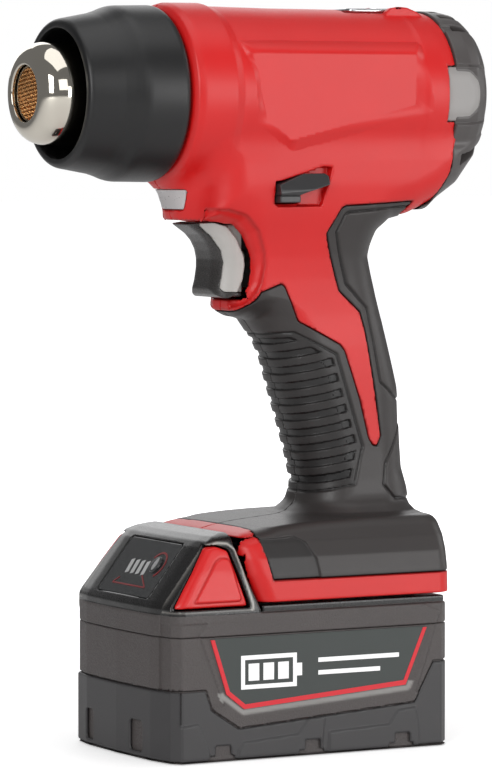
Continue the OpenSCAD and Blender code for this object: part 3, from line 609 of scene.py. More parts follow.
def skin(x, y, z):
    "The tool's outer form, both halves, without its rear cover."
    off = np.abs(y)
    barrel = BARREL(x, np.hypot(y, z - AXIS_Z))
    corner = CORNER(z) + (FRONT_CORNER(z) - CORNER(z)) * ramp(14, 4, x)
    grip = meet(meet_round(GRIP_AND_LOBE(x, z), off - GRIP_WIDTH(z), corner), GRIP(x, z))
    # the chin under the barrel has a leaning front face
    chin = meet_round((-x - 39 - 0.298 * (z - 192.7)) / 1.0435, off - CHIN_WIDTH(z), 12)
    chin = meet_round(meet(chin, x + 24), meet(192.7 - z, z - 215), 1.0)
    upper = join_round(barrel, join_round(grip, chin, 4), 5)
    # the flat panel on each side of the barrel
    face, edge = PANEL_FACE(x, z), PANEL_EDGE(x, z)
    t = np.clip(-edge / np.maximum(np.maximum(face, 0) - edge, 1e-3), 0, 1)
    t = np.where(edge >= 0, 0, np.where(face <= 0, 1, t)) * (off > 12)
    upper = upper * (1 - t) + (off - 29.7) * t
    # foot: a block whose top sweeps up into the grip
    reach = outside(np.abs(x - 33.7) - 5.2, off - 3) - 15
    height = FLARE(reach) - 2.4 * ((x - 12) / 36) ** 2 * (x < 12)
    slope = (FLARE(reach + 0.3) - FLARE(reach - 0.3)) / 0.6
    top = (z - height) / np.sqrt(1 + slope * slope)
    foot = meet_round(meet_round(FOOT(x, z), off - FOOT_WIDTH(z), 6.5), top, 3.0)
    return join_soft(upper, meet_round(foot, 56.35 - z, 0.6), 1.2)


def cover_zone(x, y, z):
    "Below zero where the soft cover lies. Its front edge on the foot bows with the width."
    zone = COVER(x, z)
    front = -(x + 20 + 2.6 * (np.abs(y) / 32) ** 3)
    return np.where(z > 79.8, np.maximum(zone, np.where(z < 96, front, -50)), zone)


def trigger_slots(x, off, z):
    "Slots that the trigger's cheeks slide into."
    return meet(TRIGGER_ARC(x - 6.2, z), off - 13.2, 164.9 - z)


def carve_foot(f, x, y, z):
    "The channel that takes the pack, with a rail down each side, and the opening above it."
    off = np.abs(y)
    rail = box(x, off, z, (-24, 24.4, 58), (50.6, 33, 61.6))
    channel = carve(box(x, y, z, (-60, -31.5, 40), (50.5, 31.5, 71)), rail)
    channel = np.minimum(channel, box(x, y, z, (-70, -32.6, 40), (-20, 32.6, 79)))
    channel = np.minimum(channel, box(x, off, z, (-31, 27, 40), (-19.9, 34.9, 73)))
    f = carve(f, channel)
    f = carve(f, box(x, y, z, (9.9, -20.1, 70.9), (36.1, 20.1, 74.7)))
    return carve(f, box(x, y, z, (14, -12, 70), (40, 12, 90)))


def casing(x, y, z):
    outer = skin(x, y, z)
    off = np.abs(y)
    arc = TRIGGER_ARC(x, z)
    # a ring drawn in round the back of the trigger
    f = outer + 1.1 * ramp(4.6, 3.4, arc) * (x > -34) * (off > 6) * (z > 160) * (z < 200)
    # pocket of the soft cover with a fine shadow gap
    f = carve(f, meet(cover_zone(x, y, z), -(outer + 2.3)), 0.35)
    # hollow, kept solid over the pack's channel, and the bore of the barrel
    f = carve(f, carve(outer + 4.4, box(x, y, z, (-60, -60, 50), (70, 60, 73.4))))
    f = carve(f, meet(np.hypot(y, z - AXIS_Z) - 28.4, off - 27.2, -60 - x, x - 80))
    f = carve_foot(f, x, y, z)
    # trigger opening
    f = carve(f, box(x, y, z, (-31, -11.3, 164.2), (-6, 11.3, 192.5), 0.5), 0.4)
    f = carve(f, meet(arc, off - 13.4), 0.5)
    f = carve(f, trigger_slots(x, off, z))
    # shuttle opening and its pocket
    f = carve(f, box(x, y, z, (-10.3, -40, 199.3), (0.4, 40, 207.6), 0.4), 0.35)
    f = carve(f, meet(SHUTTLE_POCKET(x, z), 23.2 - off), 0.5)
    # lens seat
    f = carve(f, meet(np.abs(z - 200.9) - 3.75, off - 9.8 - 0.32 * (z - 200.5), x + 38.4), 0.25)
    # window at the back of each side for the pale panes
    f = carve(f, meet(np.abs(z - AXIS_Z) - 10.3, 60.8 - x, 27.2 - off))
    # recess under the hanging hook
    return carve(f, box(x, y, z, (29, -8.8, 268.4), (53, 8.8, 285), 1.0), 0.5)


def ears(x, y, z):
    "The two lugs that hold the hook's pin."
    off = np.abs(y)
    lugs = meet_round(EAR(x, z), np.abs(off - 10.5) - 1.6, 0.5)
    lugs = carve(lugs, meet(np.hypot(x - HOOK_X, z - HOOK_Z) - 0.95, off - 11.4))
    return carve(lugs, np.hypot(y, z - AXIS_Z) - 29)


def casing_left(x, y, z):
    return meet_round(join_soft(casing(x, y, z), ears(x, y, z), 0.3), y + 0.06, 0.3)


def casing_right(x, y, z):
    f = join_soft(casing(x, y, z), ears(x, y, z), 0.3)
    for hole_x, hole_z, mouth in SCREWS:
        f = carve(f, meet(np.hypot(x - hole_x, z - hole_z) - 3.2, (mouth - 6) - y))
    return meet_round(f, 0.06 - y, 0.3)


def casing_shade(x, y, z):
    "Dark in the gap round the cover and round the trigger."
    gap = np.abs(cover_zone(x, y, z) + 0.05) - 0.12
    shade = np.exp(-np.maximum(gap, 0) / 0.2) * 0.9
    arc = TRIGGER_ARC(x, z)
    shade = np.maximum(shade, np.where(np.abs(y) > 13.6, 0, 0.5) * (arc < 0.4))
    ring = 0.35 * np.exp(-((arc - 4.4) / 0.45) ** 2) * (x > -34) * (z > 160) * (z < 200)
    return np.clip(np.maximum(shade, ring), 0, 1)


CASING_CELL = 0.84
piece("casing_left", casing_left, (-58, -44, 52), (68, 0.6, 274), CASING_CELL,
      ("tool", "housing_left", "red_plastic", "red"), {"shade": casing_shade})
piece("casing_right", casing_right, (-58, -0.6, 52), (68, 44, 274), CASING_CELL,
      ("tool", "housing_right", "red_plastic", "red"), {"shade": casing_shade})


# ---------------------------------------------------------------- soft cover
def ribs(x, y, z):
    "Depth of the grip's ribbing: low where a rib is proud."
    edge = RIB_FIELD(x, z)
    inside = np.clip(-edge / 0.5, 0, 1)
    turn = (z - 0.22 * x - 147.6) / 6.15
    part = turn - np.floor(turn)
    groove = ramp(0.0, 0.1, part) * ramp(0.57, 0.46, part)
    # the groove ends are deeper along the back of the ribbing
    pocket = (ramp(-0.3, -0.6, edge) * ramp(-3.7, -3.3, edge)
              * (x > 12) * (z < 146) * (z > 96))
    return inside * groove * (0.9 + 0.8 * pocket) * (0.45 + 0.55 * ramp(94, 98, z))


def cover_skin(x, y, z, outer):
    "The cover's face: lines drawn in, panels standing proud, ribs and foot recess."
    panel, patch, border = COVER_PANEL(x, z), BACK_PATCH(x, z), RIB_BORDER(x, z)
    f = (outer + 0.55 * ridge(panel, 0.42) + 0.5 * ridge(patch, 0.42) * (x < 57.5)
         + 0.6 * ridge(border, 0.42))
    f = f - 0.35 * ramp(0, -1.2, patch) - 0.3 * ramp(0, -1.2, panel)
    f = f + 0.25 * ramp(0.0, -0.8, border) + ribs(x, y, z) * 0.9
    f = f + 0.9 * ramp(0.1, -0.7, FOOT_RECESS(x, z)) * (np.abs(y) > 30)
    return np.minimum(f, outer + 1.35)


def cover_left(x, y, z):
    outer = skin(x, y, z)
    off = np.abs(y)
    f = meet_round(cover_skin(x, y, z, outer), cover_zone(x, y, z) + 0.22, 0.5)
    f = meet(f, -(outer + 2.25))
    f = carve(f, meet(TRIGGER_ARC(x, z), off - 13.6))
    f = carve(f, trigger_slots(x, off, z))
    # nothing within the barrel
    f = meet(f, np.where(np.hypot(y, z - AXIS_Z) < 31.6, 2.0, -50.0))
    return meet_round(f, y + 0.06, 0.25)


def cover_shade(x, y, z):
    shade = np.maximum(0.85 * ridge(COVER_PANEL(x, z), 0.36),
                       0.85 * ridge(RIB_BORDER(x, z), 0.4))
    shade = np.maximum(shade, 0.8 * ridge(BACK_PATCH(x, z), 0.36) * (x < 57.5))
    rim = np.exp(-np.maximum(-cover_zone(x, y, z) - 0.4, 0) / 0.15) * 0.6
    return np.clip(np.maximum(shade, rim), 0, 1)


def cover_rib_tone_and_painted_shade(x, y, z):
    # Darker over the ribbed patch, with painted shade in the ribs' grooves and in the foot
    # recess.
    ribbing = ramp(0.2, -0.6, RIB_BORDER(x, z)) * 0.55
    ribbing = ribbing + 0.45 * np.clip(ribs(x, y, z) - 0.2, 0, 1)
    recess = 0.55 * ramp(0.1, -0.7, FOOT_RECESS(x, z)) * (np.abs(y) > 30)
    return np.clip(np.maximum(ribbing, recess), 0, 1)


cover = piece("cover_left", cover_left, (-32, -42, 62), (62, 0.6, 203), 0.52,
              ("tool", "grip_cover_left", "soft_grip", "grip"),
              {"shade": cover_shade, "rib": cover_rib_tone_and_painted_shade})
mirror_piece(cover, "cover_right", ("tool", "grip_cover_right", "soft_grip", "grip"))

# ---------------------------------------------------------------- battery pack
# (x, y) seen from above
PLAN = Outline([(-56.4, -40), (-59.4, -36), (-61.4, -25), (-62.2, 0), (-61.4, 25),
                (-59.4, 36), (-56.4, 40), (52.4, 40), (56.6, 36), (56.6, -36),
                (52.4, -40)], blur=0.25)
# (x, z) seen from the side
BUMPER_TOP = Outline([(-90, 25.6), (-46.4, 26.0), (-43.7, 18.6), (-32.9, 11.6), (40.5, 16.8),
                      (48.6, 31.2), (90, 31.9), (90, -20), (-90, -20)], blur=0.2, margin=4)
SIDE_FRAME = Outline([(-49.4, 46.6), (-41.2, 53.4), (38.4, 54.6), (51.2, 49.6), (41, 20.6),
                      (37, 15), (-32, 11), (-38.6, 19.4)], blur=0.15)
LABEL_WINDOW = Outline([(-45.4, 44.9), (-38.4, 24.1), (-30.9, 18.6), (37, 23.4),
                        (46.6, 44.9)], blur=0.1, spacing=0.25, margin=6)
CAP_FRONT = [(-62, 55.4), (-60.8, 57.4), (-46, 76.4), (-43.6, 78.6), (-40, 80.1), (-35, 81.1)]
CAP = Outline([(-61.4, 48)] + CAP_FRONT + [(-31.8, 81.3), (-31.2, 80.6), (-31.7, 76.6),
              (-28.6, 66), (-24.6, 56.4), (-23.6, 54), (-23.2, 48)], blur=0.35)
CAP_FACE = Outline([(-61.4, 40)] + CAP_FRONT + [(10, 83), (10, 40)], blur=0.35)
BUTTON_RIM = Outline([(-59.8, 54.8), (-58.6, 56.6), (-44.6, 74.4), (-42, 76.2),
                      (-38.4, 76.9), (-34.9, 76.6), (-33.2, 75), (-28.4, 56.4),
                      (-28.4, 54.8)], blur=0.3, spacing=0.25, margin=6)
BUTTON_SIDE = Outline([(-72, 55.2), (-72, 76.6), (-39, 77), (-34.8, 75.4), (-28.6, 55.2)],
                      blur=0.35, spacing=0.25, margin=6)
TRIANGLE = Outline([(-50.4, 57.4), (-48.6, 60), (-40.4, 71.4), (-38.4, 72.6), (-35.6, 72.4),
                    (-34.6, 71), (-31.6, 58.2), (-32.2, 57.4)],
                   blur=0.3, spacing=0.25, margin=6)
BUMPER_PADS = [Outline(points, blur=0.3) for points in (
    [(-57, 13.2), (-49.5, 13.8), (-45.2, 3), (-45.6, -4), (-60, -4), (-60, 13.2)],
    [(-33, 3.5), (-31, 6.2), (-8.6, 7.8), (-3.8, 13.4), (2.6, 13.8), (1.4, 4), (1.8, -4),
     (-34, -4)],
    [(4.6, 7.8), (29.8, 9), (33.6, 14), (41, 14.6), (42.4, 6), (42, -4), (4, -4)])]
# distance from the centre plane, how far back the cap's front is drawn
CAP_BOW = Curve([(0, 0), (12, 0.2), (25, 0.8), (36, 2.8), (40, 5.8), (44, 9)], 1.2)
# height, half width
CAP_WIDTH = Curve([(45, 39.9), (54, 39.7), (58, 39.2), (68, 37.2), (76, 34.6), (79, 32),
                   (80.4, 29.6), (81.6, 26), (84, 22)], 0.6)
BUTTON_WIDTH = Curve([(50, 38.9), (58, 38.5), (68, 36.6), (76, 34.4), (80, 32.6)], 0.8)
NOTCHES = ((-42.4, -36.2), (-5.6, 0.8), (32.2, 38.6))    # x of the bumper's side notches
FRONT_SLOTS = ((-19, -9.6), (19.4, 26))                  # y of the bumper's front slots


def pack_outer(x, y, z):
    frame = 0.6 * ramp(-0.3, 0.6, SIDE_FRAME(x, z)) * (np.abs(y) > 30) * (z > 20)
    return PLAN(x, y) + frame


def lower_case(x, y, z):
    off = np.abs(y)
    plan = PLAN(x, y)
    f = meet_round(pack_outer(x, y, z), np.abs(z - 22.525) - 22.525, 0.5)
    # the label's bevelled window
    window = meet(LABEL_WINDOW(x, z) - (off - 38.9) * 2.6, 38.9 - off, z - 60)
    f = carve(f, window, 0.15)
    # room for the bumper
    f = carve(f, meet(BUMPER_TOP(x, z) - 0.25, -(plan + 1.35), 0.5 - z))
    # hollow
    return carve(f, meet(plan + 3.6, 2.4 - z, z - 50))


def label_bevel_painted_highlight(x, y, z):
    "Pale along the bevel of the label's window."
    off = np.abs(y)
    return (ramp(39.95, 39.6, off) * ramp(39.0, 39.2, off) * (z < 24.8)
            * (np.abs(LABEL_WINDOW(x, z)) < 3) * 0.8)


def bumper(x, y, z):
    off = np.abs(y)
    side = (off > 34) & (np.abs(x) < 57)
    plan = PLAN(x, y)
    # raised pads at the foot of each side, with a soft edge
    pads = reduce(np.minimum, [pad(x, z) for pad in BUMPER_PADS])
    f = plan + 0.55 - 0.55 * ramp(0.7, -0.5, pads) * side - 0.55 * (~side)
    f = meet_round(f, BUMPER_TOP(x, z) + 0.25, 0.7)
    f = meet_round(f, 0.6 - z, 0.9)
    f = meet(f, -(plan + 1.3))
    for x0, x1 in NOTCHES:
        f = carve(f, box(x, off, z, (x0, 36, -4), (x1, 44, 5.6), 0.8), 0.5)
        f = carve(f, box(x, off, z, (x0 - 2.6, 36, -6), (x1 + 1.4, 44, 2.0), 0.5), 0.4)
    for y0, y1 in FRONT_SLOTS:
        f = carve(f, box(x, y, z, (-70, y0, 2.4), (-50, y1, 13.6), 1.6), 0.5)
    return f


def upper_case(x, y, z):
    off = np.abs(y)
    band = meet_round(pack_outer(x, y, z), np.abs(z - 48.9) - 3.75, 0.5)
    # tower with its two rails
    tower = reduce(np.minimum, [box(x, y, z, *block) for block in (
        ((-26, -27.6, 50), (48, 27.6, 57.4), 0.5), ((-26, -23.8, 50), (48, 23.8, 70), 0.5),
        ((-26, -27.6, 62.2), (48, 27.6, 70), 0.6), ((-22, -37, 50), (54.6, 37, 55.2), 0.6))])
    face = CAP_FACE(x - CAP_BOW(off), z)
    cap = meet_round(meet(CAP(x, z), face), off - CAP_WIDTH(z), 1.4)
    cap = meet_round(cap, 50 - z, 0.4)
    f = join_soft(np.minimum(band, tower), cap, 0.6)
    # hollow
    f = carve(f, box(x, y, z, (-24, -21.4, 40), (45, 21.4, 67.6)))
    f = carve(f, meet(PLAN(x, y) + 3.6, z - 49.5, 40 - z))
    f = carve(f, meet(CAP(x, z) + 3.2, off - 26, 48 - z))
    # four slots in the tower, open to the back
    for middle in (-15, -5, 5, 15):
        f = carve(f, box(x, y, z, (10, middle - 1.4, 56), (60, middle + 1.4, 80)))
    # openings for the release buttons
    opening = BUTTON_SIDE(x, z) - 0.35
    f = carve(f, meet(opening, CAP_WIDTH(z) - 3.7 - off), 0.5)
    f = carve(f, meet(opening, face + 1.9, 24 - off))
    # window of the gauge and the well of its key, along and out of the slope
    along = (x - GAUGE_X) * SLOPE_RUN + (z - GAUGE_Z) * SLOPE_RISE
    out = -(x - GAUGE_X) * SLOPE_RISE + (z - GAUGE_Z) * SLOPE_RUN
    window = outside(np.abs(along - 1.2) - 10.6, off - 18.4) - 1.6
    f = carve(f, meet(window, -1.25 - out, out - 14), 0.4)
    return carve(f, meet(np.hypot(along - 3, y + 10.5) - 3.7, -6 - out))


def button_rim_painted_highlight(x, y, z):
    """Painted highlight: a pale line round each release button."""
    return ridge(BUTTON_RIM(x, z) - 1.15, 0.4) * (np.abs(y) > 31) * (z > 54)


def release_left(x, y, z):
    off = -y
    face = CAP_FACE(x - CAP_BOW(off), z)
    f = meet_round(face + 0.4, off - BUTTON_WIDTH(z), 2.0)
    f = meet_round(f, BUTTON_SIDE(x, z) + 0.25, 0.9)
    # a shell, open towards the inside
    shell = np.minimum(CAP_WIDTH(z) - 3.15 - off, np.maximum(face + 2.4, 30.4 - off))
    f = meet_round(f, shell, 0.5)
    # raised triangle
    mark = TRIANGLE(x, z)
    return (f - 0.42 * ramp(0.35, -0.35, mark) * (off > 32)
            + 0.1 * ridge(mark - 0.5, 0.35) * (off > 32))


def release_shade(x, y, z):
    return 0.35 * ridge(TRIANGLE(x, z) - 0.3, 0.35)


piece("lower_case", lower_case, (-64, -42, -2), (59, 42, 47), 0.7,
      ("pack", "pack_lower_case", "pack_plastic", "pack"), {"rib": label_bevel_painted_highlight})
piece("bumper", bumper, (-64, -42, -2), (59, 42, 34), 0.62,
      ("pack", "pack_bumper", "pack_bumper", "pack_smooth"))
upper_mesh = piece("upper_case", upper_case, (-64, -42, 43), (59, 42, 84), 0.6,
                   ("pack", "pack_upper_case", "pack_plastic", "cap"),
                   {"rib": button_rim_painted_highlight})[0].data
# the band under the cap is grained like the lower case
upper_mesh.materials.append(MATERIALS["pack"])
BAND_TOP = 0.0529        # metres
heights = np.array([polygon.center.z for polygon in upper_mesh.polygons])
upper_mesh.polygons.foreach_set("material_index", (heights < BAND_TOP).astype(np.int32))
release = piece("release_left", release_left, (-62, -42, 52), (-25, -28, 82), 0.42,
                ("release_left", "release_button_left", "red_button", "red_smooth"),
                {"shade": release_shade})
mirror_piece(release, "release_right",
             ("release_right", "release_button_right", "red_button", "red_smooth"))

# ---------------------------------------------------------------- trigger, shuttle, lens
# (x, z) seen from the side
FINGER_FRONT = [(-36.4, 192), (-33.5, 190), (-30.6, 188), (-28.1, 185.3), (-26.5, 182.2),
                (-25.8, 179), (-25.8, 176)]
TRIGGER = Outline(FINGER_FRONT + [
    (-26.4, 171.6), (-27, 169.2), (-27, 167.8), (-26, 166.2), (-24, 165.2), (-22.6, 164.9),
    (-21.5, 165.2), (-18.7, 166.7), (-16.3, 171.5), (-15.4, 177), (-15.8, 180.3),
    (-18.8, 186.7), (-22.9, 191.2), (-28.3, 192.5)], blur=0.35, spacing=0.2)
TRIGGER_FRONT = Outline([(-42, 200)] + FINGER_FRONT + [
    (-26.5, 171.6), (-27.4, 168.4), (-27.6, 150), (20, 150), (20, 200)],
    blur=0.35, spacing=0.25, margin=12)
CHEEK = Outline([(-32.8, 194), (-32.6, 191.5), (-27.6, 187.4), (-24.2, 182.5), (-23.2, 178),
                 (-23.8, 173.2), (-24.8, 168.6), (-23.6, 167.2), (-10, 166.9), (-5, 180),
                 (-10, 194)], blur=0.3, spacing=0.2)
SHUTTLE = Outline([(-9.8, 202.6), (-1.4, 202.4), (1.2, 203.4), (11.2, 206.2), (11.2, 209.4),
                   (9.6, 210.4), (0.6, 210.2), (-9.8, 206.4)],
                  blur=0.2, spacing=0.2, margin=6)


def trigger(x, y, z):
    off = np.abs(y)
    f = meet_round(TRIGGER(x, z), off - 12.9 + 0.25 * ramp(0.2, -0.5, CHEEK(x, z)), 0.9)
    # the front is crowned: its flanks are drawn back
    f = meet_round(f, outside(TRIGGER_FRONT(x, z) + 9, off - 3.9) - 9, 0.3)
    return np.minimum(f, box(x, y, z, (-21.5, -10.4, 165.4), (-15.7, 10.4, 191.6), 0.5))


def trigger_cheeks(x, y, z):
    return meet(trigger(x, y, z), CHEEK(x, z) + 0.08)


def trigger_finger(x, y, z):
    return meet(trigger(x, y, z), -CHEEK(x, z) + 0.08)


def shuttle(x, y, z):
    off = np.abs(y)
    f = meet_round(SHUTTLE(x, z), off - 29.3, 0.35)
    # the end is faceted: a long slope above, a short one below
    f = meet_round(f, (z - 204.6) * 0.35 + (off - 28.9) * 0.94 - 0.2, 0.3)
    f = meet_round(f, -(z - 203.2) * 0.55 + (off - 28.7) * 0.83 + (x - 2) * 0.06, 0.3)
    # the nose stands off the floor of its pocket by the shuttle's travel
    f = meet(f, np.minimum(26.4 - off, x - 0.1))
    core = box(x, y, z, (-9.8, -23, 199.8), (0, 23, 207.2), 0.3)
    ledge = box(x, off, z, (-9.8, 20, 199.8), (-1.2, 28.6, 202.4), 0.4)
    return np.minimum(np.minimum(f, core), ledge)


def lens(x, y, z):
    outer = skin(x, y, z)
    bounds = meet(np.abs(z - 200.9) - 3.55, np.abs(y) - 9.6 - 0.32 * (z - 200.5), x + 38.5)
    return carve(meet_round(outer + 0.12, bounds, 0.4), outer + 2.4)


for trigger_name, trigger_field, trigger_slot, trigger_finish in (
        # the cheeks are painted light grey as a painted reflection
        ("trigger_cheeks", trigger_cheeks, "trigger_plastic", "trigger_grey"),
        ("trigger_finger", trigger_finger, "dark_plastic", "trigger_dark")):
    piece(trigger_name, trigger_field, (-40, -14, 162), (-12, 14, 195), 0.36,
          ("trigger", "trigger", trigger_slot, trigger_finish))
piece("shuttle", shuttle, (-12, -31, 198), (13, 31, 210.5), 0.4,
      ("shuttle", "lock_shuttle", "dark_plastic", "shuttle"))
piece("lens", lens, (-47, -13, 195), (-36.5, 13, 207), 0.3,
      ("tool", "led_lens", "lens", "lens"))

# ---------------------------------------------------------------- rear cover
# along the axis (x), radius
REAR_OUTER = Outline([(64.55, -60), (64.55, 29.9), (70.5, 29.8), (74.5, 29), (78.5, 26.6),
                      (81.3, 23), (82.8, 18.5), (83.4, 12), (83.4, -60)],
                     blur=0.35, spacing=0.25, margin=6)
REAR_INNER = Outline([(50, -60), (50, 27.4), (68.5, 27.4), (72.5, 27), (76.5, 24.8),
                      (79, 21.6), (80.5, 17.5), (81.1, 12), (81.1, -60)],
                     spacing=0.25, margin=6)
# angle above the horizontal (degrees), half width, where the slot starts in x
REAR_SLOTS = ((53.5, 1.5, 69), (69, 1.5, 67.5), (82, 1.4, 67), (-43.8, 1.9, 68.5),
              (-80.5, 1.4, 67))
END_PITCH = 24.0         # degrees between the openings on the end face


def rear(x, y, z):
    off = np.abs(y)
    radius = np.hypot(y, z - AXIS_Z)
    angle = np.degrees(np.arctan2(z - AXIS_Z, off))
    base = REAR_OUTER(x, radius)
    # proud blocks above and below the flat window, and along the top and bottom
    proud = (ramp(19.5, 20.8, angle) * ramp(49.5, 48.2, angle)
             + ramp(-20.5, -21.8, angle) * ramp(-40.2, -38.9, angle)
             + 0.75 * ramp(56, 57.2, angle) + 0.75 * ramp(-56, -57.2, angle))
    base = base - 1.35 * proud * ramp(82.5, 74.5, x)
    base = np.maximum(base, np.where(np.abs(angle) < 20.2, off - 28.4, -9))
    # a lobe below, drawn down along the casing's back
    lobe = meet_round(LOBE(x, z), off - GRIP_WIDTH(z) + 0.3, 12)
    base = join_soft(base, meet(lobe, z - 224), 1.5)
    behind = np.minimum(64.55 - x, np.maximum(0.25 - GRIP(x, z), z - 212))
    f = carve(meet_round(base, behind, 0.4), REAR_INNER(x, radius))
    for middle, half, start in REAR_SLOTS:
        across = radius * np.sin(np.radians(angle - middle))
        f = carve(f, meet(np.abs(across) - half, start - x, 19.5 - radius), 0.35)
    # openings on the end face
    turn = np.degrees(np.arctan2(z - AXIS_Z, y)) / END_PITCH
    across = radius * np.radians((turn - np.round(turn)) * END_PITCH)
    return carve(f, meet(np.abs(across) - 1.35, np.abs(radius - 12.4) - 3.9, 74.5 - x), 0.3)


def rear_panes(x, y, z):
    "The light flat pane let into each side at the rear."
    off = np.abs(y)
    f = meet_round(off - 28.9, np.abs(z - AXIS_Z) - 9.9, 0.5)
    f = meet_round(f, 61.1 - x, 0.5)
    rear_skin = REAR_OUTER(np.maximum(x, 67), np.hypot(y, z - AXIS_Z))
    f = meet_round(f, rear_skin + 0.25, 0.3)
    return meet(f, 27.35 - off, x - 78.5)


piece("rear_cup", rear, (56, -34, 196), (86, 34, 274), 0.5,
      ("tool", "rear_cover", "dark_plastic", "rear"))
piece("rear_panes", rear_panes, (59, -32, 226), (81, 32, 252), 0.45,
      ("tool", "rear_cover", "dark_plastic", "pane"))

# ---------------------------------------------------------------- turned pieces
# along the axis (x), radius
GUARD = [
    (-86, 23.6), (-86, 25.4), (-85.5, 26.3), (-84.4, 26.9), (-72.6, 29), (-69, 30.1),
    (-66.2, 31.2), (-64.6, 31.6), (-63.2, 31.75), (-50, 32), (-48.6, 31.7), (-47.5, 30.7),
    (-47.05, 29), (-47.05, 27.9), (-42.2, 27.9), (-42.2, 25.4), (-49.4, 25.4), (-49.4, 22.3),
    (-51.5, 22.3), (-51.5, 26), (-60, 27.4), (-72, 25.4), (-84, 23.4)]
NOZZLE = [
    (-98.9, 10.2), (-98.95, 11.6), (-98.8, 13), (-98.3, 14.4), (-97.4, 15.7), (-96.2, 16.8),
    (-94.6, 17.7), (-92.8, 18.25), (-91, 18.5), (-79, 18.5), (-76, 18.9), (-64, 19.6),
    (-49.4, 19.6), (-49.4, 22.2), (-48.2, 22.2), (-48.2, 18.2), (-64, 18.2), (-76, 17.6),
    (-90, 17.3), (-93.4, 16.6), (-95.4, 15.4), (-96.4, 14), (-97, 12.4), (-97, 10.2)]
WEAVE_RIM = [(-96.9, 9.4), (-96.9, 10.15), (-95.6, 10.15), (-95.6, 9.4)]
OUTLET_SHADE = [(-95.2, 0.5), (-95.2, 10.1), (-94.8, 10.1), (-94.8, 0.5)]


def ease_corners(points, radius):
    "A closed profile with each corner eased by a short curve."
    points = np.array(points, float)
    eased = []
    for i, corner in enumerate(points):
        before = points[i - 1] - corner
        after = points[(i + 1) % len(points)] - corner
        len_before, len_after = np.linalg.norm(before), np.linalg.norm(after)
        reach = min(radius, len_before * 0.45, len_after * 0.45)
        start = corner + before / len_before * reach
        end = corner + after / len_after * reach
        for t in np.linspace(0, 1, 4):
            eased.append((1 - t) ** 2 * start + 2 * t * (1 - t) * corner + t * t * end)
    return np.array(eased)


def lathe(name, profile, tags, radius, sharp_angle=35):
    "A profile turned about the barrel's axis."
    profile = ease_corners(profile, radius)
    turns = 192
    n = len(profile)
    angle = np.linspace(0, 2 * np.pi, turns, endpoint=False)[:, None]
    along, out = profile[:, 0][None], profile[:, 1][None]
    points = np.stack([np.repeat(along, turns, 0), out * np.cos(angle),
                       AXIS_Z + out * np.sin(angle)], -1).reshape(-1, 3)
    i = np.arange(turns)[:, None]
    j = np.arange(n)[None]
    i2, j2 = (i + 1) % turns, (j + 1) % n
    quads = np.stack([i * n + j, i2 * n + j, i2 * n + j2, i * n + j2], -1).reshape(-1, 4)
    ob = quad_object(name, points, quads)
    bm = bmesh.new()
    bm.from_mesh(ob.data)
    bmesh.ops.recalc_face_normals(bm, faces=bm.faces)
    bm.to_mesh(ob.data)
    bm.free()
    ob.data.set_sharp_from_angle(angle=math.radians(sharp_angle))
    register(ob, *tags)


def outlet_weave():
    "Fine woven wire across the outlet, domed forwards, its wires a little uneven."
    pitch, reach, wire = 1.0, 10.0, 0.2
    sides = 6
    middle_x, wave_height, dome_height = -96.3, 0.26, 0.9
    cos_turn, sin_turn = math.cos(math.radians(38)), math.sin(math.radians(38))
    random = np.random.RandomState(7)
    around = np.linspace(0, 2 * np.pi, sides, endpoint=False)
    points, quads = [], []
    for family, i in itertools.product((0, 1), range(-10, 11)):
        middle = i * pitch + random.uniform(-0.18, 0.18)
        if abs(middle) > reach - 0.3:
            continue
        half = math.sqrt(reach * reach - middle * middle)
        count = max(int(half * 2 / 0.25), 4)
        t = np.linspace(-half, half, count)
        wave = wave_height * np.cos(np.pi * t / pitch + (np.pi if (i + family) % 2 else 0))
        dome = dome_height * (1 - (middle * middle + t * t) / (reach * reach))
        stray = middle + random.uniform(-0.06, 0.06, count).cumsum() * 0.25
        u, v = (stray, t) if family else (t, stray)
        across_y, across_z = (cos_turn, sin_turn) if family else (-sin_turn, cos_turn)
        first = len(points)
        for k in range(count):
            y = u[k] * cos_turn - v[k] * sin_turn
            z = u[k] * sin_turn + v[k] * cos_turn
            for a in around:
                lift = wire * math.sin(a)
                points.append((middle_x - dome[k] + wave[k] + wire * math.cos(a),
                               y + across_y * lift, AXIS_Z + (z + across_z * lift)))
        last = len(points) - sides
        for ring in range(first, last, sides):
            for a in range(sides):
                b = (a + 1) % sides
                quads.append((ring + a, ring + b, ring + sides + b, ring + sides + a))
        # the six-sided ends, two quads each
        quads.append((first, first + 1, first + 2, first + 3))
        quads.append((first, first + 3, first + 4, first + 5))
        quads.append((last + 3, last + 2, last + 1, last))
        quads.append((last + 5, last + 4, last + 3, last))
    register(quad_object("outlet_weave", np.array(points), np.array(quads)),
             "tool", "outlet_screen", "screen_wire", "weave")


lathe("guard", GUARD, ("tool", "nozzle_guard", "guard_plastic", "guard"), radius=0.5)
lathe("nozzle_shell", NOZZLE, ("tool", "nozzle", "polished_steel", "chrome"), radius=0.9,
      sharp_angle=60)
outlet_weave()
lathe("weave_rim", WEAVE_RIM, ("tool", None, "screen_wire", "heat_steel"), radius=0.15)
lathe("outlet_shade", OUTLET_SHADE, ("tool", None, "mica", "heat_steel"), radius=0.1)

# ---------------------------------------------------------------- hanging hook
HOOK_TAGS = ("hook", "hanging_hook", "bright_steel", "hook")


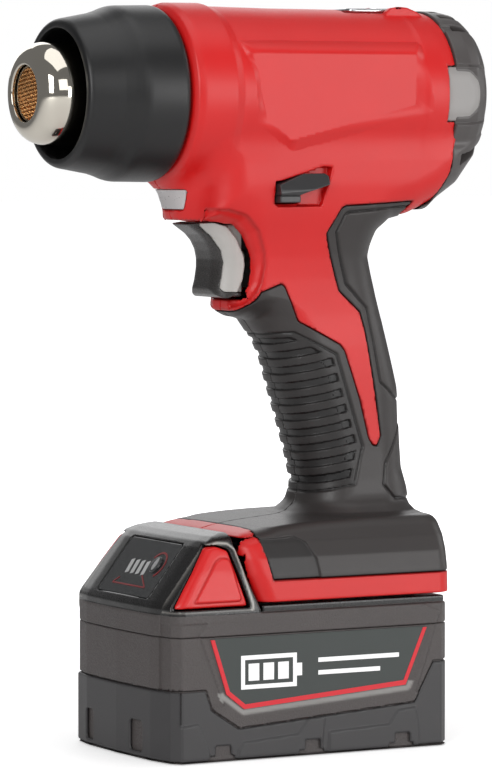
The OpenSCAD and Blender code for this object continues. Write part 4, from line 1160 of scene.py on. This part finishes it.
def hook_bail():
    "The bent wire: two legs joined across the front by rounded corners."
    corner_x, bend, steps = 33.6, 2.2, 6
    path = [(HOOK_X, -HOOK_HALF, HOOK_Z)]
    for side, order in ((-1, range(steps + 1)), (1, range(steps, -1, -1))):
        for i in order:
            a = math.radians(90 * i / steps)
            path.append((corner_x - bend * math.sin(a),
                         side * (HOOK_HALF - bend * (1 - math.cos(a))), HOOK_Z))
    path.append((HOOK_X, HOOK_HALF, HOOK_Z))
    curve = bpy.data.curves.new("hook_bail", "CURVE")
    curve.dimensions = "3D"
    spline = curve.splines.new("POLY")
    spline.points.add(len(path) - 1)
    for point, place in zip(spline.points, path):
        point.co = (*[v / 1000 for v in place], 1)
    curve.bevel_depth = WIRE_RADIUS / 1000
    curve.bevel_resolution = 6
    curve.use_fill_caps = True
    source = add_object("hook_bail_c", curve)
    bpy.context.view_layer.update()
    depsgraph = bpy.context.evaluated_depsgraph_get()
    mesh = bpy.data.meshes.new_from_object(source.evaluated_get(depsgraph))
    bpy.data.objects.remove(source)
    mesh.name = "hook_bail"
    set_smooth(mesh)
    register(add_object("hook_bail", mesh), *HOOK_TAGS)


def hook_eyes():
    "A flat-sided ring round the pin at the end of each leg."
    bore, rim, steps = 1.0, 1.5, 32
    near, far = HOOK_HALF - WIRE_RADIUS, HOOK_HALF + WIRE_RADIUS
    section = ((bore, near), (rim, near), (rim, far), (bore, far))
    points, quads = [], []
    for side in (-1, 1):
        base = len(points)
        for i in range(steps):
            a = 2 * math.pi * i / steps
            for r, y in section:
                points.append((HOOK_X + r * math.cos(a), side * y, HOOK_Z + r * math.sin(a)))
        for i, k in itertools.product(range(steps), range(4)):
            ring, ring2, k2 = base + i * 4, base + (i + 1) % steps * 4, (k + 1) % 4
            quad = (ring + k, ring + k2, ring2 + k2, ring2 + k)
            quads.append(quad if side > 0 else quad[::-1])
    ob = quad_object("hook_eyes", np.array(points), np.array(quads))
    set_smooth(ob.data, False)
    register(ob, *HOOK_TAGS)


hook_bail()
hook_eyes()


# ---------------------------------------------------------------- labels
def prism(name, base, axis, top, bevel, tags, segments=2, matrix=None):
    "A flat outline drawn out along an axis to `top`, its top edges bevelled."
    bm = bmesh.new()
    face = bm.faces.new([bm.verts.new(point) for point in base])
    drawn = bmesh.ops.extrude_face_region(bm, geom=[face])["geom"]
    for part in drawn:
        if isinstance(part, bmesh.types.BMVert):
            part.co[axis] = top
    bmesh.ops.recalc_face_normals(bm, faces=bm.faces)
    if bevel:
        edges = [e for e in bm.edges if all(abs(v.co[axis] - top) < 1e-7 for v in e.verts)]
        bmesh.ops.bevel(bm, geom=edges, offset=bevel, segments=segments, affect="EDGES",
                        profile=0.6)
    mesh = bpy.data.meshes.new(name)
    bm.to_mesh(mesh)
    bm.free()
    if matrix:
        mesh.transform(matrix)
    register(add_object(name, mesh), *tags)


def plate(name, outline, y0, y1, side, finish, replaces=None, bevel=0):
    "A flat plate on one side of the pack, from an (x, z) outline, between two depths."
    base = [(x / 1000, side * y0 / 1000, z / 1000) for x, z in outline]
    prism(name, base, 1, side * y1 / 1000, bevel / 1000, ("pack", replaces, "label", finish))


LABEL = [(-43.9, 44.3), (-37.6, 24.9), (-30.6, 19.4), (36.5, 24.2), (45.3, 44.3)]
# a line round the label, open at the top: out along one edge, back along the other
STRIPE = [(-44.4, 43.9), (-37.9, 23.9), (-30.7, 18.3), (36.9, 23.2), (45.9, 43.9),
          (44.3, 43.9), (36.0, 24.9), (-30.2, 20.0), (-36.6, 25.0), (-42.8, 43.9)]
BAR_PITCH, RULE_PITCH = 6.1, 4.6
# a battery sign and two rules: name, x0, z0, x1, z1, outer face, finish
LABEL_MARKS = [
    ("cell_sign_rim", -32, 25.4, -9, 37.6, 39.28, "white"),
    ("cell_sign_tip", -9.4, 29.2, -6.8, 33.8, 39.27, "white"),
    ("cell_sign_field", -30.4, 27, -10.6, 36, 39.32, "label"),
    *[(f"cell_sign_bar_{k}", -29 + BAR_PITCH * k, 28.4, -24.6 + BAR_PITCH * k, 34.6,
       39.37, "white") for k in range(3)],
    *[(f"label_rule_{k}", 0, 33.6 - RULE_PITCH * k, end, 35.2 - RULE_PITCH * k,
       39.28, "white") for k, end in enumerate((34, 26))],
]
MARK_BACK = 38.6         # depth the printed marks start from
for side, tag in ((-1, "left"), (1, "right")):
    plate("label_" + tag, LABEL, 38.5, 39.15, side, "label", "pack_label_" + tag, bevel=0.12)
    plate("label_stripe_" + tag, STRIPE, MARK_BACK, 39.26, side, "redink")
    for mark, x0, z0, x1, z1, face_y, mark_finish in LABEL_MARKS:
        # turned about on the right, so that it reads the same way
        corners = [(-side * x, z) for x, z in ((x0, z0), (x1, z0), (x1, z1), (x0, z1))]
        plate(f"{mark}_{tag}", corners, MARK_BACK, face_y, side, mark_finish)

# ---------------------------------------------------------------- gauge
# Outlines are (along the slope, across), and heights are out of the slope.
GAUGE_PLACE = Matrix.Scale(0.001, 4) @ Matrix((
    (SLOPE_RUN, 0, -SLOPE_RISE, GAUGE_X), (0, 1, 0, 0),
    (SLOPE_RISE, 0, SLOPE_RUN, GAUGE_Z), (0, 0, 0, 1)))
KEY_U, KEY_V = 3, -10.5  # centre of the round key


def on_gauge(name, outline, low, high, finish, bevel=0, body="pack", replaces=None,
             slot="gauge_panel", segments=2):
    prism(name, [(u, v, low) for u, v in outline], 2, high, bevel,
          (body, replaces, slot, finish), segments, GAUGE_PLACE)


def round_box(u0, u1, v0, v1, radius, steps=6):
    points = []
    for u, v, start in ((u1 - radius, v1 - radius, 0), (u0 + radius, v1 - radius, 90),
                        (u0 + radius, v0 + radius, 180), (u1 - radius, v0 + radius, 270)):
        for i in range(steps + 1):
            a = math.radians(start + 90 * i / steps)
            points.append((u + radius * math.cos(a), v + radius * math.sin(a)))
    return points


def disc(u, v, radius_u, radius_v, steps=40):
    angles = [2 * math.pi * i / steps for i in range(steps)]
    return [(u + radius_u * math.cos(a), v + radius_v * math.sin(a)) for a in angles]


def arc_band(u, v, inner, outer, start, end, steps=28):
    angles = [math.radians(start + (end - start) * i / steps) for i in range(steps + 1)]
    return ([(u + outer * math.cos(a), v + outer * math.sin(a)) for a in angles]
            + [(u + inner * math.cos(a), v + inner * math.sin(a)) for a in angles[::-1]])


def stroke(start, end, width):
    "Outline of a straight stroke."
    path = np.linspace(start, end, 5)
    along = np.gradient(path, axis=0)
    along /= np.linalg.norm(along, axis=1, keepdims=True)
    across = np.stack([-along[:, 1], along[:, 0]], 1) * (width / 2)
    return [tuple(p) for p in np.concatenate([path + across, (path - across)[::-1]])]


on_gauge("gauge_face", round_box(-10.8, 13.0, -19.6, 19.6, 1.5), -1.15, -0.55, "gauge",
         bevel=0.2, replaces="gauge_panel")
for i in range(4):
    v = 8 - 4 * i
    on_gauge(f"lamp_{i}", [(-2.2, v + 0.2), (3.6, v + 1.2), (4.2, v - 0.9), (-1.6, v - 1.9)],
             -1.0, -0.42, "lamp", bevel=0.1, replaces="gauge_lights", slot="gauge_light")
KEY_TAGS = dict(body="gauge_key", replaces="gauge_button", slot="gauge_button")
on_gauge("gauge_key", disc(KEY_U, KEY_V, 3.4, 3.4), -2.6, 0.1, "gauge", bevel=0.4,
         segments=3, **KEY_TAGS)
# a pale oval on the key: a painted highlight
on_gauge("gauge_key_painted_highlight", disc(3.1, -10.4, 2.7, 1.25), 0.0, 0.16, "key_highlight", bevel=0.05,
         **KEY_TAGS)
on_gauge("gauge_arc", arc_band(KEY_U, KEY_V, 4.9, 5.7, -150, 60), -1.0, -0.42, "lamp_line")
for k, (start, end) in enumerate((((-6.8, 12.5), (-6.8, -12.5)), ((-6.8, 12.5), (-4.2, 9.5)),
                                  ((-6.8, -12.5), (-2.2, -5.4)))):
    on_gauge(f"gauge_line_{k}", stroke(start, end, width=0.6), -1.0, -0.44, "lamp_line")


# ---------------------------------------------------------------- camera, light, floor (m)
def aim(ob, direction):
    ob.rotation_mode = "QUATERNION"
    ob.rotation_quaternion = direction.to_track_quat("-Z", "Y")


def add_camera(yaw, pitch, distance, target, focal_length):
    "A camera that looks at the target, turned by yaw from +Y and tipped down by pitch."
    look = Vector((math.sin(yaw) * math.cos(pitch), math.cos(yaw) * math.cos(pitch),
                   -math.sin(pitch)))
    camera = add_object("camera", bpy.data.cameras.new("camera"))
    camera.location = Vector(target) - distance * look
    aim(camera, look)
    camera.data.sensor_width = 36
    camera.data.lens = focal_length
    camera.data.clip_start = 0.05
    camera.data.clip_end = 100
    SCENE.camera = camera


def softbox(name, place, size, power):
    light = bpy.data.lights.new(name, "AREA")
    light.shape = "RECTANGLE"
    light.size, light.size_y = size
    light.energy = power
    ob = add_object(name, light)
    ob.location = place
    aim(ob, Vector((0, 0, 0.14)) - Vector(place))


def studio_world():
    "White to the camera, a dim grey room to everything else."
    world = bpy.data.worlds.new("studio")
    world.use_nodes = True
    tree = world.node_tree
    backdrop = tree.nodes["Background"]
    rays = tree.nodes.new("ShaderNodeLightPath")
    room = add_node(tree, "ShaderNodeBackground",
                    {"Color": (0.62, 0.62, 0.63, 1), "Strength": 0.32})
    backdrop.inputs["Color"].default_value = (1, 1, 1, 1)
    backdrop.inputs["Strength"].default_value = 1.0
    mix = tree.nodes.new("ShaderNodeMixShader")
    tree.links.new(rays.outputs["Is Camera Ray"], mix.inputs[0])
    tree.links.new(room.outputs[0], mix.inputs[1])
    tree.links.new(backdrop.outputs[0], mix.inputs[2])
    tree.links.new(mix.outputs[0], tree.nodes["World Output"].inputs["Surface"])
    SCENE.world = world


def studio_floor():
    "A pale floor that glows, to the camera only, more strongly away from the tool."
    half, z = 9, -0.0004
    mesh = bpy.data.meshes.new("floor")
    mesh.from_pydata([(-half, -half, z), (half, -half, z), (half, half, z), (-half, half, z)],
                     [], [(0, 1, 2, 3)])
    floor = add_object("floor", mesh)
    material, tree, shader = new_material("pale_floor")
    shader.inputs["Base Color"].default_value = (0.93, 0.93, 0.93, 1)
    shader.inputs["Roughness"].default_value = 0.75
    shader.inputs["Emission Color"].default_value = (1, 1, 1, 1)
    place = tree.nodes.new("ShaderNodeTexCoord")
    distance = tree.nodes.new("ShaderNodeVectorMath")
    distance.operation = "LENGTH"
    tree.links.new(place.outputs["Object"], distance.inputs[0])
    glow = remap(tree, distance.outputs["Value"], span=(0.1, 0.75), result=(0.42, 1.0))
    rays = tree.nodes.new("ShaderNodeLightPath")
    seen = tree.nodes.new("ShaderNodeMath")
    seen.operation = "MULTIPLY"
    tree.links.new(glow, seen.inputs[0])
    tree.links.new(rays.outputs["Is Camera Ray"], seen.inputs[1])
    tree.links.new(seen.outputs[0], shader.inputs["Emission Strength"])
    mesh.materials.append(material)


add_camera(yaw=math.radians(29.068), pitch=math.radians(3.386), distance=1.7245,
           target=(-0.0082, 0, 0.132), focal_length=218.7326425)
# name, place, size, power (W)
for row in (
        ("key", (-1.45, -1.25, 0.85), (0.8, 1.2), 19),
        ("front", (0.2, -2.1, 0.95), (1.2, 0.9), 6),
        ("sheen", (1.12, -1.75, 0.28), (0.8, 0.9), 12),
        ("top", (0.1, -0.2, 1.7), (1.5, 1.5), 9),
        ("right", (1.8, -0.3, 0.7), (0.6, 1.2), 6),
        ("back", (0.5, 1.6, 0.9), (1.4, 1.2), 8)):
    softbox(*row)
studio_world()
studio_floor()
SCENE.view_settings.view_transform = "Standard"
